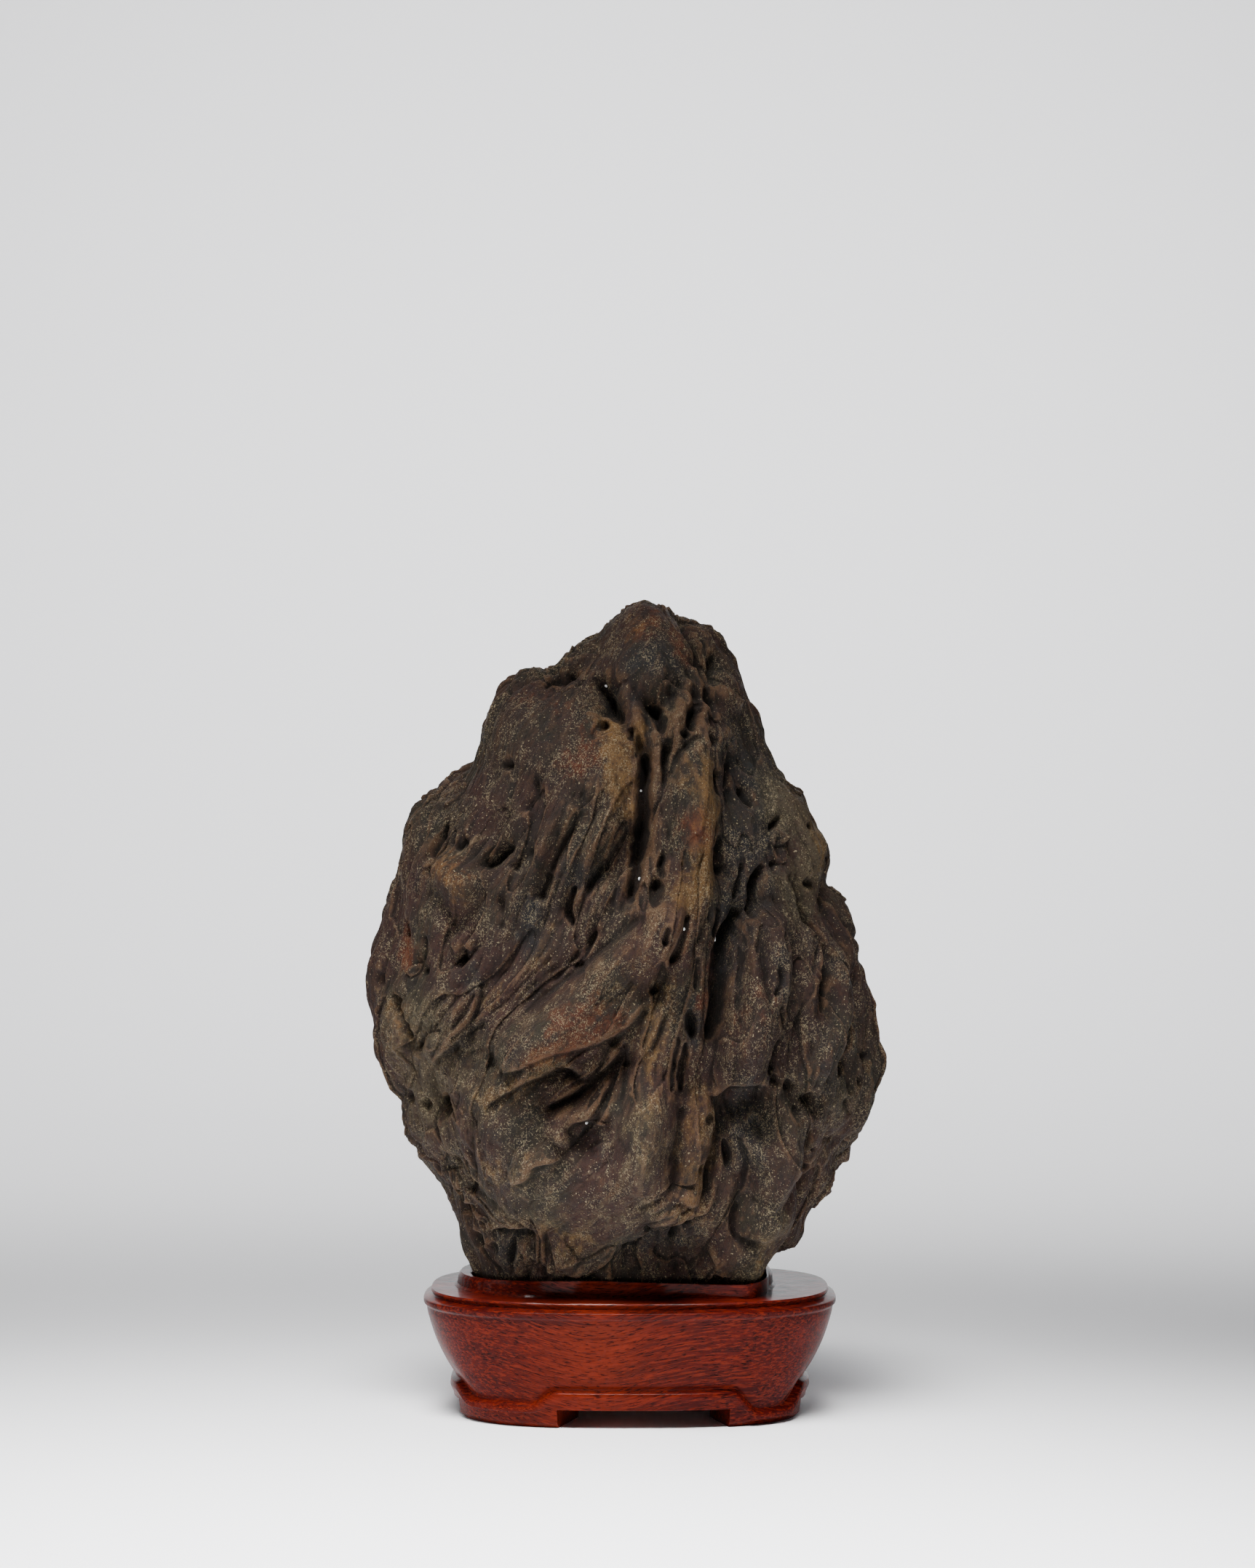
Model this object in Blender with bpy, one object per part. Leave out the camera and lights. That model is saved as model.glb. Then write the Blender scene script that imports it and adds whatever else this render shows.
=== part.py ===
"""A scholar's rock standing in the seat of its carved hardwood stand.

Two pieces: the stone ("rock"), and the stand ("stand"), which is cut from one block.
All the sizes are in millimetres. The model is made in metres, +Z up, with the stand's
feet on z = 0 and the front of the stone facing -Y.
"""
import math
from itertools import product

import bmesh
import bpy
import numpy as np

MM = 0.001
# The sizes below are drawn round an axis of their own; this is where the middle of the
# whole thing falls on that drawing, seen from above, and it goes to the origin.
MIDDLE = np.array([0.0, -3.7, 0.0])

# ---------------------------------------------------------------- driving sizes, stone
AXIS_X, AXIS_Z = 0.0, 205.0     # the line, front to back, that the outline is drawn round
FRONT_DEPTH = 70.0              # from the middle plane to the front, before the lobes
BACK_DEPTH = 72.0
FLATNESS = 2.2                  # over 2: the faces are flatter than an ellipsoid's
AVERAGED_DEGREES = 14.0         # the outline's lobes are averaged over this each way
RIM_POWER = 5                   # how closely they keep to the rim
FOOT_CUT = 54.0                 # the stone ends flat at this height, inside the seat
SMOOTH_BELOW = 64.0             # below this the stone is plain, because the seat holds it
SMOOTH_BLEND = 8.0
STONE_LEVEL = 7                 # subdivisions of the ball that the stone is shaped from
STONE_TRIANGLES = 6200

# The stone's outline from the front, (x, z), anticlockwise from the peak's right side.
OUTLINE_LEFT = [
    (-1, 396), (-9, 390), (-19, 384), (-28, 379), (-33, 372), (-37, 369), (-43, 369),
    (-48, 370), (-53, 368), (-60, 362), (-64, 355), (-67, 345), (-71, 336), (-76, 325),
    (-82, 317), (-94, 309), (-104, 303), (-110, 295), (-113, 285), (-115, 271),
    (-118, 257), (-121, 246), (-121, 235), (-125, 223), (-128, 209), (-128, 198),
    (-126, 186), (-123, 174), (-121, 165), (-119, 158), (-115, 147), (-111, 136),
    (-104, 125), (-97, 115), (-91, 104), (-85, 92), (-82, 83), (-78, 74), (-75, 67)]
OUTLINE_FOOT = [(-68, 56), (-48, 48), (-20, 44), (10, 44), (40, 47), (58, 54)]
OUTLINE_RIGHT = [
    (67, 64), (72, 73), (76, 76), (81, 77), (86, 78), (90, 85), (92, 94), (98, 104),
    (107, 117), (113, 129), (121, 142), (126, 159), (127, 172), (124, 183), (121, 202),
    (119, 217), (115, 224), (114, 239), (109, 250), (102, 259), (101, 265), (102, 275),
    (102, 284), (97, 292), (93, 303), (87, 311), (80, 318), (73, 332), (68, 343),
    (63, 353), (61, 360), (56, 371), (52, 379), (46, 387), (37, 392), (29, 395),
    (20, 399), (10, 400)]

# How the marks below are shaped.
MARK_ENDS = 0.22                # share of a mark's length in which it runs out at each end
LEDGE_DROP = 0.2                # width of a ledge's steep side, as a share of its slope
SLOT_DEEPER = 1.1               # every slot's depth is multiplied by this
SLOT_FLANK = 2.6                # reach of a slot's sloping sides, in half-widths
SLOT_ROUNDNESS = 1.25           # 1: its core is a V, 2: a U
MARK_UNEVEN, MARK_UNEVEN_SIZE = 0.45, 9.0    # how unevenly deep the cuts are
SLOT_STEEP_SHARE = 0.55         # share of a slot's depth that is in its steep core
SLOT_END_WIDTH = 0.5            # how wide a slot still is at its ends
PIT_FLANK = 1.5                 # reach of a pit, in radii
CREASE_FLANK = 1.6              # reach of a crease's sides, in half-widths
RIM_RELIEF = 0.2                # share of the raised marks kept where the stone turns away
RIM_TURN = 0.4                  # how far it faces the front or back before all of it is kept
PATH_STEPS = 5                  # steps between each two points of a mark

# What the water left on the stone. Each mark is a half-width, a height (or a depth) and
# the points that it follows; on the front and back they are (x, z), on the ends (y, z).

# Swells: broad rounded forms, raised where the height is positive.
SWELLS = {
    "front": [
        (48, 13, [(-55, 142), (-31, 122), (-3, 129)]),             # the lower bulge
        (21, 14, [(13, 240), (-8, 219), (-33, 199), (-47, 188)]),   # the arm across the middle
        (50, 4, [(-72, 333), (-35, 315)]),
        (40, 5, [(-83, 256), (-90, 204)]),
        (20, 12, [(31, 336), (33, 284), (24, 233), (15, 181), (10, 129)]),   # central ridge
        (26, 7, [(7, 388), (12, 368)]),                            # the knob at the peak
        (18, 14, [(69, 238), (67, 215), (58, 182)]),                # the finger
        (30, 5, [(85, 294), (104, 258)]),
        (28, 4, [(104, 220), (99, 189), (92, 155)]),
        (28, 12, [(73, 134), (65, 98), (53, 73)]),
        (13, 9, [(36, 152), (34, 133), (29, 119), (20, 110)]),      # the tongue
        (22, -8, [(5, 82), (24, 80)]),                             # recess under the bulge
        (12, -7, [(1, 287), (-7, 275), (-19, 266)]),
        (8, -4, [(-17, 301), (-23, 290), (-30, 282), (-37, 272)]),
        (12, -8, [(52, 157), (66, 156), (66, 146)]),               # hollow under the finger
        (9, -5, [(82, 159), (88, 157)]),
        (14, -5, [(-8, 180), (-22, 168), (-34, 164)]),             # shade under the arm
        (11, -5, [(57, 320), (54, 300), (50, 284), (47, 272)]),
        (12, -4, [(-14, 354), (2, 350), (20, 350)]),               # under the knob
        (13, 5, [(-86, 268), (-78, 260)]),                         # on the left shoulder
        (10, 4, [(-92, 247), (-90, 242)]),
        (5, 4, [(15, 333), (15, 318), (13, 303)]),
        (6, 5, [(32, 356), (27, 344), (21, 333)]),                 # teeth under the knob
        (6, 4, [(-1, 354), (5, 344), (7, 335)]),
        (5, 4, [(35, 364), (38, 353), (37, 342)]),
        (8, 3, [(-50, 211), (-52, 200), (-62, 186)]),
        (9, 5, [(92, 236), (90, 220), (84, 204)]),
        (9, 6, [(104, 228), (103, 215), (105, 204), (99, 189), (91, 174)]),
        (10, 5, [(77, 132), (67, 114), (63, 98)]),
        (8, -4, [(59, 124), (56, 112)])],
    "back": [
        (46, 9, [(38, 152), (5, 128), (-25, 136)]),
        (26, 8, [(-40, 330), (-55, 270), (-70, 210)]),
        (22, 8, [(20, 375), (6, 320), (12, 260), (26, 205)]),
        (30, 7, [(75, 290), (85, 230), (80, 170)]),
        (26, 6, [(-85, 180), (-75, 130)]),
        (22, -10, [(-12, 84), (24, 80)]),
        (14, -9, [(-20, 245), (-28, 215)])],
    "left": [
        (24, 3, [(-20, 290), (-12, 235), (-18, 180)]),
        (20, 5, [(28, 250), (34, 190)]),
        (16, 5, [(8, 130), (4, 100)])],
    "right": [
        (22, 4, [(-18, 250), (-14, 195), (-20, 150)]),
        (22, 6, [(26, 270), (30, 215)]),
        (18, 5, [(10, 130), (14, 105)])]}

# Ledges: folds that rise slowly from one side and drop off on the other, which is on the
# right of the direction of travel.
LEDGES = {
    "front": [
        (22, 11, [(-62, 170), (-50, 177), (-38, 182), (-19, 187), (-4, 194), (4, 202),
                 (12, 216)]),                                      # crest of the arm
        (13, 6, [(-72, 150), (-59, 164), (-38, 172), (-29, 175), (-20, 170), (-14, 173),
                 (-8, 185), (-1, 198)]),                           # lower edge of the arm
        (12, 6, [(-40, 268), (-32, 282), (-26, 291), (-19, 304)]),
        (12, 5, [(-24, 260), (-13, 273), (-5, 283), (0, 294)]),
        (18, 6, [(-40, 158), (-24, 165), (-7, 179), (-2, 188)]),
        (12, 6, [(-28, 138), (-26, 147), (-19, 151), (-2, 149)]),
        (12, 6, [(-52, 121), (-44, 124), (-39, 131), (-28, 135)]),
        (16, 6, [(-92, 128), (-89, 117), (-77, 107), (-70, 99), (-61, 94), (-47, 92)]),
        (24, 7, [(-50, 80), (-33, 74), (-14, 77), (0, 88), (14, 97), (31, 105),
                 (40, 114), (43, 129)]),                            # lip of the bulge
        (12, 7, [(38, 162), (44, 161), (50, 166), (60, 167), (72, 164)]),
        (9, 5, [(58, 348), (50, 353), (41, 359)]),
        (8, 4, [(31, 346), (40, 342), (50, 339)]),
        (9, 5, [(70, 285), (75, 281), (80, 284)]),
        (8, 4, [(-83, 228), (-78, 232), (-72, 229)]),
        (12, 5, [(-86, 184), (-76, 195), (-71, 206), (-71, 217)]),
        (10, 4, [(-98, 172), (-88, 181), (-78, 189)])],
    "back": [
        (20, 6, [(60, 205), (35, 190), (5, 182), (-25, 168), (-50, 150)]),
        (17, 6, [(60, 122), (35, 100), (0, 92), (-35, 98), (-70, 118), (-92, 146)]),
        (14, 4, [(-15, 296), (-40, 300), (-60, 320)])],
    "left": [
        (14, 2, [(30, 168), (8, 158), (-18, 166)])],
    "right": [
        (14, 1.5, [(-26, 206), (0, 198), (24, 208)])]}

# Slots: steep-sided clefts and holes, shaded inside.
SLOTS = {
    "front": [
        (4.5, 9, [(-9, 355), (-7, 348), (-3, 341)]),
        (4, 9, [(13, 349), (16, 344), (18, 335)]),
        (4, 10, [(36, 347), (32, 341), (30, 335)]),
        (4.5, 8, [(40, 355), (42, 347), (44, 342)]),
        (2.6, 9, [(-88, 291), (-91, 285), (-93, 278), (-94, 273)]),
        (2.4, 9, [(-26, 260), (-28, 252), (-26, 243)]),
        (3.5, 7, [(6, 334), (8, 322)]),
        (5.5, 16, [(9, 324), (9, 308), (8, 292), (7, 279), (5, 269), (3, 257)]),
        (5, 7, [(-39, 359), (-32, 361), (-26, 362)]),
        (3, 9, [(21, 330), (20, 322), (19, 311)]),
        (4, 9, [(48, 284), (45, 276), (47, 268)]),
        (3, 9, [(61, 309), (62, 303), (63, 299)]),
        (4, 11, [(68, 271), (65, 262), (64, 253), (61, 246)]),
        (5.5, 19, [(57, 249), (51, 238), (46.5, 222), (45, 205), (42, 189)]),   # deep valley
        (3, 8, [(58, 272), (57, 263), (55, 256)]),
        (4.5, 10, [(31, 201), (32, 189)]),
        (2.6, 7, [(28, 185), (27, 164)]),
        (2.4, 6, [(24, 188), (22, 165)]),
        (4, 8, [(15, 262), (14, 252)]),
        (2.6, 6, [(18, 275), (17, 265)]),
        (3, 8, [(28, 245), (25, 230), (22, 225)]),
        (2.6, 6, [(34, 226), (33, 212)]),
        (2.6, 6, [(45, 250), (45, 237)]),
        (3, 6, [(18, 240), (18, 233)]),
        (3, 5, [(63, 241), (61, 229)]),
        (2.6, 5, [(73, 238), (73, 227)]),
        (7, 14, [(-92, 153), (-86, 152)]),
        (4, 7, [(-84, 108), (-79, 99)]),
        (4, 7, [(-74, 98), (-72, 94)]),
        (5, 9, [(-64, 92), (-56, 91), (-48, 91)]),
        (4, 6, [(-57, 87), (-58, 76)]),
        (4, 8, [(10, 97), (11, 95)]),
        (4, 8, [(30, 98), (30, 96)]),
        (3, 7, [(24, 91), (24, 82)]),
        (3.5, 11, [(89, 251), (94, 238), (98, 222), (95, 211), (94, 200)]),
        (3, 8, [(52, 330), (55, 322), (54, 311)]),
        (2.6, 7, [(96, 257), (99, 248)]),
        (2.6, 7, [(45, 290), (43, 279), (46, 271)]),
        (2.4, 6, [(76, 293), (73, 288)]),
        (3, 8, [(88, 142), (85, 126), (83, 110)]),
        (2.4, 6, [(105, 178), (104, 171)]),
        (2.6, 7, [(71, 203), (74, 194)]),
        (2.8, 7, [(72, 187), (70, 177), (70, 170)]),
        (2.6, 7, [(50, 137), (50, 125)]),
        (2.6, 5, [(55, 232), (55, 220)]),
        (2.6, 7, [(-14, 239), (-17, 231), (-20, 225)]),
        (4, 7, [(17, 223), (12, 212)]),
        (3, 6, [(52, 107), (51, 92)]),
        (4, 6, [(46, 73), (42, 71)])],
    "back": [
        (6.5, 18, [(-12, 340), (-18, 310), (-22, 280), (-20, 250), (-26, 222)]),
        (5, 13, [(48, 300), (44, 275), (50, 250), (47, 228)]),
        (4.5, 12, [(-62, 262), (-66, 240)]),
        (4, 9, [(88, 215), (92, 196)]),
        (5, 11, [(20, 150), (26, 138)]),
        (6, 10, [(-70, 98), (-55, 90)]),
        (3.5, 9, [(0, 216), (6, 202)]),
        (4, 10, [(66, 120), (60, 104)]),
        (3, 8, [(-92, 214), (-88, 200)])],
    "left": [
        (5, 12, [(8, 268), (12, 246), (8, 226)]),
        (4, 9, [(-34, 205), (-38, 188)]),
        (5, 10, [(22, 150), (20, 134)])],
    "right": [
        (5, 12, [(4, 262), (8, 240), (4, 220)]),
        (4, 9, [(-30, 230), (-32, 212)]),
        (4.5, 10, [(18, 172), (14, 154)])]}

# Creases: sharp-bottomed lines between rounded lobes.
CREASES = {
    "front": [
        (5, 8, [(23, 397), (29, 388), (34, 379), (38, 370), (41, 362), (41, 354)]),
        (5, 6, [(44, 375), (45, 366), (44, 357)]),
        (5, 8, [(-17, 363), (-12, 357), (-9, 351), (-8, 341)]),
        (3.5, 5, [(3, 339), (3, 331)]),
        (5, 7, [(35, 332), (28, 328), (23, 318), (19, 308)]),
        (5, 4, [(45, 317), (45, 303)]),
        (4, 6, [(50, 333), (52, 322), (54, 308), (53, 298)]),
        (3, 4, [(43, 255), (45, 244), (44, 236)]),
        (3, 4, [(40, 253), (38, 245), (35, 236), (33, 229), (33, 216)]),
        (3, 4, [(28, 245), (26, 236), (22, 229)]),
        (6, 5, [(14, 261), (14, 251)]),
        (3, 5, [(18, 275), (17, 266)]),
        (3, 4, [(-77, 284), (-80, 281), (-83, 278)]),
        (5, 8, [(-54, 282), (-59, 278), (-64, 273), (-72, 270)]),
        (5, 5, [(-43, 280), (-50, 274), (-55, 267)]),
        (5, 4, [(-84, 249), (-85, 240)]),
        (6, 5, [(-80, 228), (-76, 224)]),
        (4, 5, [(-71, 213), (-73, 206), (-78, 196), (-87, 190)]),
        (4, 4, [(-61, 258), (-59, 248), (-61, 238)]),
        (4, 7, [(-36, 269), (-39, 262), (-41, 253)]),
        (4, 5, [(-43, 315), (-42, 305), (-46, 299), (-47, 293)]),
        (4, 6, [(-107, 244), (-108, 235)]),
        (7, 9, [(14, 252), (2, 241), (-12, 230), (-22, 222), (-42, 207), (-54, 192)]),
        (3.5, 6, [(3, 200), (-2, 194), (-9, 183), (-14, 172), (-20, 168), (-28, 173),
                  (-38, 170), (-50, 166)]),                        # under the arm
        (4, 5, [(-1, 190), (-3, 180), (-14, 168), (-30, 158), (-38, 155)]),
        (4, 5, [(-1, 188), (1, 174)]),
        (3, 6, [(-3, 149), (-12, 151), (-20, 150), (-25, 147), (-26, 140)]),
        (3.5, 4, [(-97, 190), (-100, 185), (-104, 180)]),
        (4, 5, [(-65, 196), (-72, 192), (-83, 181), (-91, 175)]),
        (3.5, 5, [(-72, 119), (-73, 115), (-74, 111)]),
        (5, 5, [(-69, 156), (-71, 141), (-70, 127), (-72, 119)]),
        (4, 5, [(-2, 89), (1, 78)]),
        (5, 9, [(40, 162), (46, 148), (45, 137), (39, 119), (30, 107)]),
        (3.5, 8, [(27, 160), (25, 148), (23, 134), (18, 113)]),
        (3.5, 4, [(87, 245), (93, 235), (90, 224), (87, 211)]),
        (4, 5, [(81, 268), (85, 261), (91, 248), (95, 243)]),
        (3, 3, [(103, 251), (108, 239), (114, 226)]),
        (3.5, 5, [(64, 244), (62, 229), (63, 213), (67, 200)]),
        (4, 6, [(80, 236), (78, 214), (76, 196)]),
        (3, 6, [(110, 224), (112, 206), (106, 190), (104, 181)]),
        (3, 6, [(55, 228), (54, 216), (53, 202), (52, 187)]),
        (3, 5, [(67, 224), (68, 214), (66, 206)]),
        (3.5, 4, [(107, 157), (109, 146)]),
        (4.5, 9, [(87, 141), (86, 125), (85, 108), (80, 92), (75, 79)]),
        (4, 4, [(51, 158), (55, 142), (59, 123)]),
        (3.6, 5, [(53, 105), (52, 92), (63, 89)])],
    "back": [
        (5, 7, [(38, 378), (32, 352), (40, 330)]),
        (5, 7, [(-40, 352), (-46, 325), (-42, 300), (-50, 276)]),
        (5, 6, [(8, 300), (4, 270), (10, 240)]),
        (4, 5, [(28, 320), (26, 290), (30, 262)]),
        (5, 7, [(70, 330), (66, 300), (72, 270)]),
        (4, 5, [(86, 280), (90, 255)]),
        (6, 8, [(58, 198), (32, 182), (4, 174), (-24, 160), (-48, 142)]),
        (4, 5, [(-80, 300), (-86, 276), (-84, 250)]),
        (4, 5, [(-100, 260), (-104, 232)]),
        (5, 6, [(-40, 200), (-44, 172), (-38, 150)]),
        (4, 5, [(-76, 190), (-80, 165), (-74, 140)]),
        (4, 5, [(78, 170), (74, 146), (80, 124)]),
        (5, 6, [(100, 190), (96, 165)]),
        (4, 5, [(-8, 150), (-12, 128)]),
        (4, 5, [(38, 132), (30, 112)])],
    "left": [
        (5, 7, [(6, 305), (10, 285), (8, 268)]),
        (5, 6, [(2, 220), (8, 190), (4, 160), (10, 130)]),
        (4, 5, [(-44, 240), (-40, 214)]),
        (4, 5, [(38, 225), (42, 198), (38, 172)]),
        (4, 5, [(-16, 160), (-14, 134), (-20, 112)]),
        (4, 5, [(26, 118), (24, 98)])],
    "right": [
        (5, 7, [(2, 215), (6, 185), (2, 160), (6, 135)]),
        (4, 5, [(38, 240), (42, 212), (38, 186)]),
        (4, 5, [(-38, 180), (-36, 158)]),
        (4, 5, [(-10, 140), (-14, 118), (-8, 98)]),
        (4, 5, [(26, 140), (28, 116)]),
        (5, 6, [(0, 300), (6, 280)])]}

# Pits: a radius, a depth and one point.
PITS = {
    "front": [
        (3, 5, (-11, 338)), (3, 6, (27, 332)), (2, 4, (44, 357)), (2, 4, (54, 351)),
        (4, 3, (35, 379)), (3.5, 6, (41, 330)), (4, 9, (3, 256)), (3, 4, (-94, 266)),
        (10, 4, (-91, 245)), (3, 4, (-99, 219)), (3, 4, (-83, 312)), (4, 6, (-100, 152)),
        (3, 4, (-108, 155)), (3.5, 5, (-81, 127)), (4, 7, (-48, 91)), (3, 5, (36, 127)),
        (3, 5, (40, 150)), (2.5, 5, (75, 282)), (2.5, 5, (74, 272)),
        (2, 4, (82, 305)), (2, 4, (89, 288)), (3, 5, (72, 167)), (3, 5, (80, 164)),
        (3, 5, (87, 159)), (3, 5, (81, 152)), (5, 6, (105, 175)), (3, 4, (115, 165)),
        (3, 6, (88, 122)), (3, 5, (86, 109)), (3, 5, (81, 93)), (9, 6, (-18, 141)),
        (4, 7, (-80, 110)), (4, 7, (-75, 103)), (3, 5, (-68, 98)), (4, 6, (-74, 86)),
        (3.5, 5, (-66, 82)), (3, 4, (-57, 318)), (2, 4, (90, 133)), (2, 4, (94, 130)),
        (2, 4, (99, 135)), (2, 4, (102, 134))],
    "back": [
        (4, 7, (-34, 262)), (3, 5, (18, 232)), (4, 6, (58, 262)), (3, 5, (-72, 160)),
        (5, 7, (-14, 112)), (3, 5, (48, 166)), (4, 6, (70, 206)), (3, 5, (-96, 186)),
        (4, 6, (22, 346)), (3, 5, (-58, 340)), (4, 6, (92, 146)), (3, 5, (-40, 118))],
    "left": [
        (4, 6, (-24, 214)), (3, 5, (20, 206)), (4, 6, (-8, 146)), (3, 5, (30, 280))],
    "right": [
        (4, 6, (-22, 176)), (3, 5, (22, 196)), (4, 6, (8, 118)), (3, 5, (-34, 262))]}

# The grain of the stone. Each set of furrows has its spacing across and along the grain,
# and its depth; the flakes between them overlap like shingles.
FURROWS = [(22.0, 95.0, 4.4), (9.5, 55.0, 2.4)]
FURROW_STEEPNESS = 2.6          # over 1: furrows are narrower than the ridges between them
FURROW_SHARPNESS = 1.5          # over 1: furrows are sharper at the bottom than at the top
FLAKE_ACROSS, FLAKE_ALONG, FLAKE_STEP = 17.0, 80.0, 1.6
FLAKE_LAYERS = 2.6              # how many flakes lie over one another
FLAKE_SLOPE = 0.85              # share of a flake that slopes, before its edge drops off
LUMP_SIZE, LUMP_HEIGHT = 36.0, 4.5
GRAIN_WANDER, GRAIN_WANDER_SIZE = 6.0, 55.0
# How the marks stray from their drawn lines: how far, over what distance, and a seed.
MARK_WANDERS = [(2.4, 16.0, 1), (0.7, 5.5, 41)]
GRAIN_MEAN = 2.6                # the outline is drawn over the ridges, this far out
COMB_ANGLES = [30, 50, 70, 90, 110, 130]     # directions, degrees from +X, that are blended

# The way the grain runs: (x, z, degrees from +X), seen from the front.
GRAIN = {
    "front": [
        (0, 385, 62), (30, 380, 112), (45, 350, 105), (10, 350, 80), (-30, 350, 70),
        (-60, 330, 78), (-30, 315, 82), (-90, 285, 78), (-60, 280, 52), (-30, 285, 66),
        (-110, 240, 80), (-85, 245, 60), (-50, 245, 70), (-25, 250, 72), (-8, 225, 50),
        (-110, 195, 62), (-80, 190, 48), (-55, 195, 56), (-30, 200, 38), (-5, 205, 42),
        (-20, 178, 38), (-110, 160, 85), (-85, 135, 118), (-65, 165, 58), (-40, 150, 36),
        (-50, 120, 66), (-20, 130, 50), (-20, 95, 40), (-65, 95, 130), (15, 105, 35),
        (30, 330, 96), (33, 290, 91), (30, 250, 84), (20, 210, 80), (13, 165, 87),
        (9, 125, 88), (35, 130, 92), (15, 80, 88), (55, 320, 100), (75, 300, 100),
        (95, 285, 108), (60, 260, 96), (85, 250, 106), (108, 240, 108), (50, 215, 80),
        (70, 205, 90), (88, 220, 98), (105, 200, 92), (85, 180, 90), (112, 165, 78),
        (60, 160, 96), (90, 140, 88), (60, 120, 84), (55, 85, 70), (78, 95, 72)],
    "back": [
        (0, 370, 90), (40, 340, 98), (-40, 330, 84), (-80, 290, 80), (0, 290, 92),
        (70, 290, 104), (-95, 220, 88), (-40, 230, 84), (20, 230, 74), (90, 220, 96),
        (-80, 150, 100), (-30, 160, 62), (30, 165, 52), (90, 150, 84), (-50, 100, 112),
        (0, 110, 60), (60, 105, 76)],
    "left": [(0, 250, 90), (0, 180, 90), (0, 110, 96)],
    "right": [(0, 260, 90), (0, 180, 90), (0, 120, 84)]}
GRAIN_REACH = 14.0              # how far each of those directions holds

CALM_CORE = 0.33                # a calm place is calmest over this share of its radius
# Places worn smoother than the rest, on the front: (x, z, radius, share of the grain kept).
CALM = [
    (5, 380, 36, 0.12), (-40, 335, 40, 0.2), (-15, 320, 24, 0.3), (-72, 300, 25, 0.4),
    (0, 228, 24, 0.3), (-30, 198, 30, 0.25), (-45, 145, 40, 0.25), (-15, 115, 40, 0.2),
    (-55, 115, 26, 0.3), (65, 90, 28, 0.3), (64, 208, 24, 0.35), (33, 285, 18, 0.5),
    (-80, 262, 18, 0.3), (-100, 240, 20, 0.4), (35, 135, 12, 0.4), (8, 150, 18, 0.4)]

# ---------------------------------------------------------------- driving sizes, stand
STAND_X = 2.0                   # the stand stands a little right of the stone's middle
SQUARENESS = 2.7                # over 2: the plan is boxier than an ellipse
RING_POINTS = 72
ARCH_HEIGHT = 9.0               # underside of the block, over the floor
ARCH_FRONT = (-33.0, 51.0)      # x of the front and back openings, at the outside
ARCH_NARROWING = 15.0           # each opening's walls close in by this towards the middle
ARCH_END = 22.0                 # half the width of the openings at the two ends
BEAD_DROP = (6.5, 10.5)         # how far the skirt's bead steps down, left and right feet
BEAD_STEP = 13.0                # length of the curve in which it does so
OPENING_STRAIGHT = 50.0         # the front opening starts to narrow this far from the middle
OPENING_WAIST = 8.0             # half the length of its narrow middle
CUT_PAST_X, CUT_PAST_Y, CUT_PAST_Z = 110.0, 70.0, 5.0    # the openings run out past the block
SEAT_GAP = 0.5                  # between the stone and the seat cut for it

# From the feet up: height, half-width, half-depth, and how far the ring follows the step
# of the bead over the feet.
STAND_RINGS = [
    (0.0, 83.5, 49.0, 0.0),
    (2.5, 86.0, 51.0, 0.0),
    (10.5, 87.0, 51.8, 0.5),
    (14.0, 88.6, 52.8, 1.0),
    (17.0, 88.2, 52.6, 1.0),
    (18.6, 85.6, 49.8, 1.0),
    (27.0, 90.8, 53.6, 0.5),
    (37.0, 95.6, 57.2, 0.0),
    (48.0, 99.2, 60.0, 0.0),
    (53.4, 100.2, 60.8, 0.0),
    (54.6, 101.6, 62.0, 0.0),
    (57.0, 101.6, 62.0, 0.0),
    (57.9, 98.6, 59.4, 0.0),
    (58.7, 96.8, 57.6, 0.0),
    (60.6, 98.2, 59.2, 0.0),
    (61.4, 97.4, 58.4, 0.0)]
# The collar round the stone's foot: height, and distance out from the stone's side.
COLLAR_RINGS = [(61.4, 6.2), (62.8, 4.7), (67.2, 4.4), (68.8, 3.0)]
COLLAR_PLAN_HEIGHT = 67.0       # the collar follows the stone's section at this height
COLLAR_X = -4.5                 # the middle of that section
COLLAR_FARTHEST = 110.0         # its side is nearer to that middle than this
COLLAR_SHARPNESS = 0.25         # how exactly the side is found
# The lobes and grooves carved in the collar: degrees from +X, half-width in degrees, and
# how far out.
COLLAR_LOBES = [
    (-140.0, 10.0, 2.4), (-124.0, 7.0, -1.4), (-42.0, 5.0, -1.2), (-33.0, 8.0, 1.5),
    (180.0, 26.0, 3.4), (0.0, 22.0, -1.0), (142.0, 12.0, 1.8), (60.0, 16.0, 1.4)]
# Its edge rises and falls: how many times round, how far, and from which angle.
COLLAR_WAVES, COLLAR_WAVE_UP, COLLAR_WAVE_TURN = 3, 0.6, 1.0
COLLAR_LEVEL_BELOW = 63.0       # the rings under this height are level


def smoothstep(value):
    """0 below 0, 1 above 1, and a smooth climb between."""
    value = np.clip(value, 0.0, 1.0)
    return value * value * (3.0 - 2.0 * value)


def smooth_curve(points, steps, closed=False):
    """A Catmull-Rom curve through the points, with some steps between each two."""
    points = np.asarray(points, dtype=float)
    if closed:
        padded = np.vstack([points[-1], points, points[:2]])
    else:
        padded = np.vstack([2 * points[0] - points[1], points, 2 * points[-1] - points[-2]])
    out = []
    for before, start, end, after in zip(padded, padded[1:], padded[2:], padded[3:]):
        for share in np.arange(steps) / steps:
            out.append(0.5 * (2 * start + (end - before) * share
                              + (2 * before - 5 * start + 4 * end - after) * share ** 2
                              + (3 * start - before - 3 * end + after) * share ** 3))
    if not closed:
        out.append(points[-1])
    return np.array(out)


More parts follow.
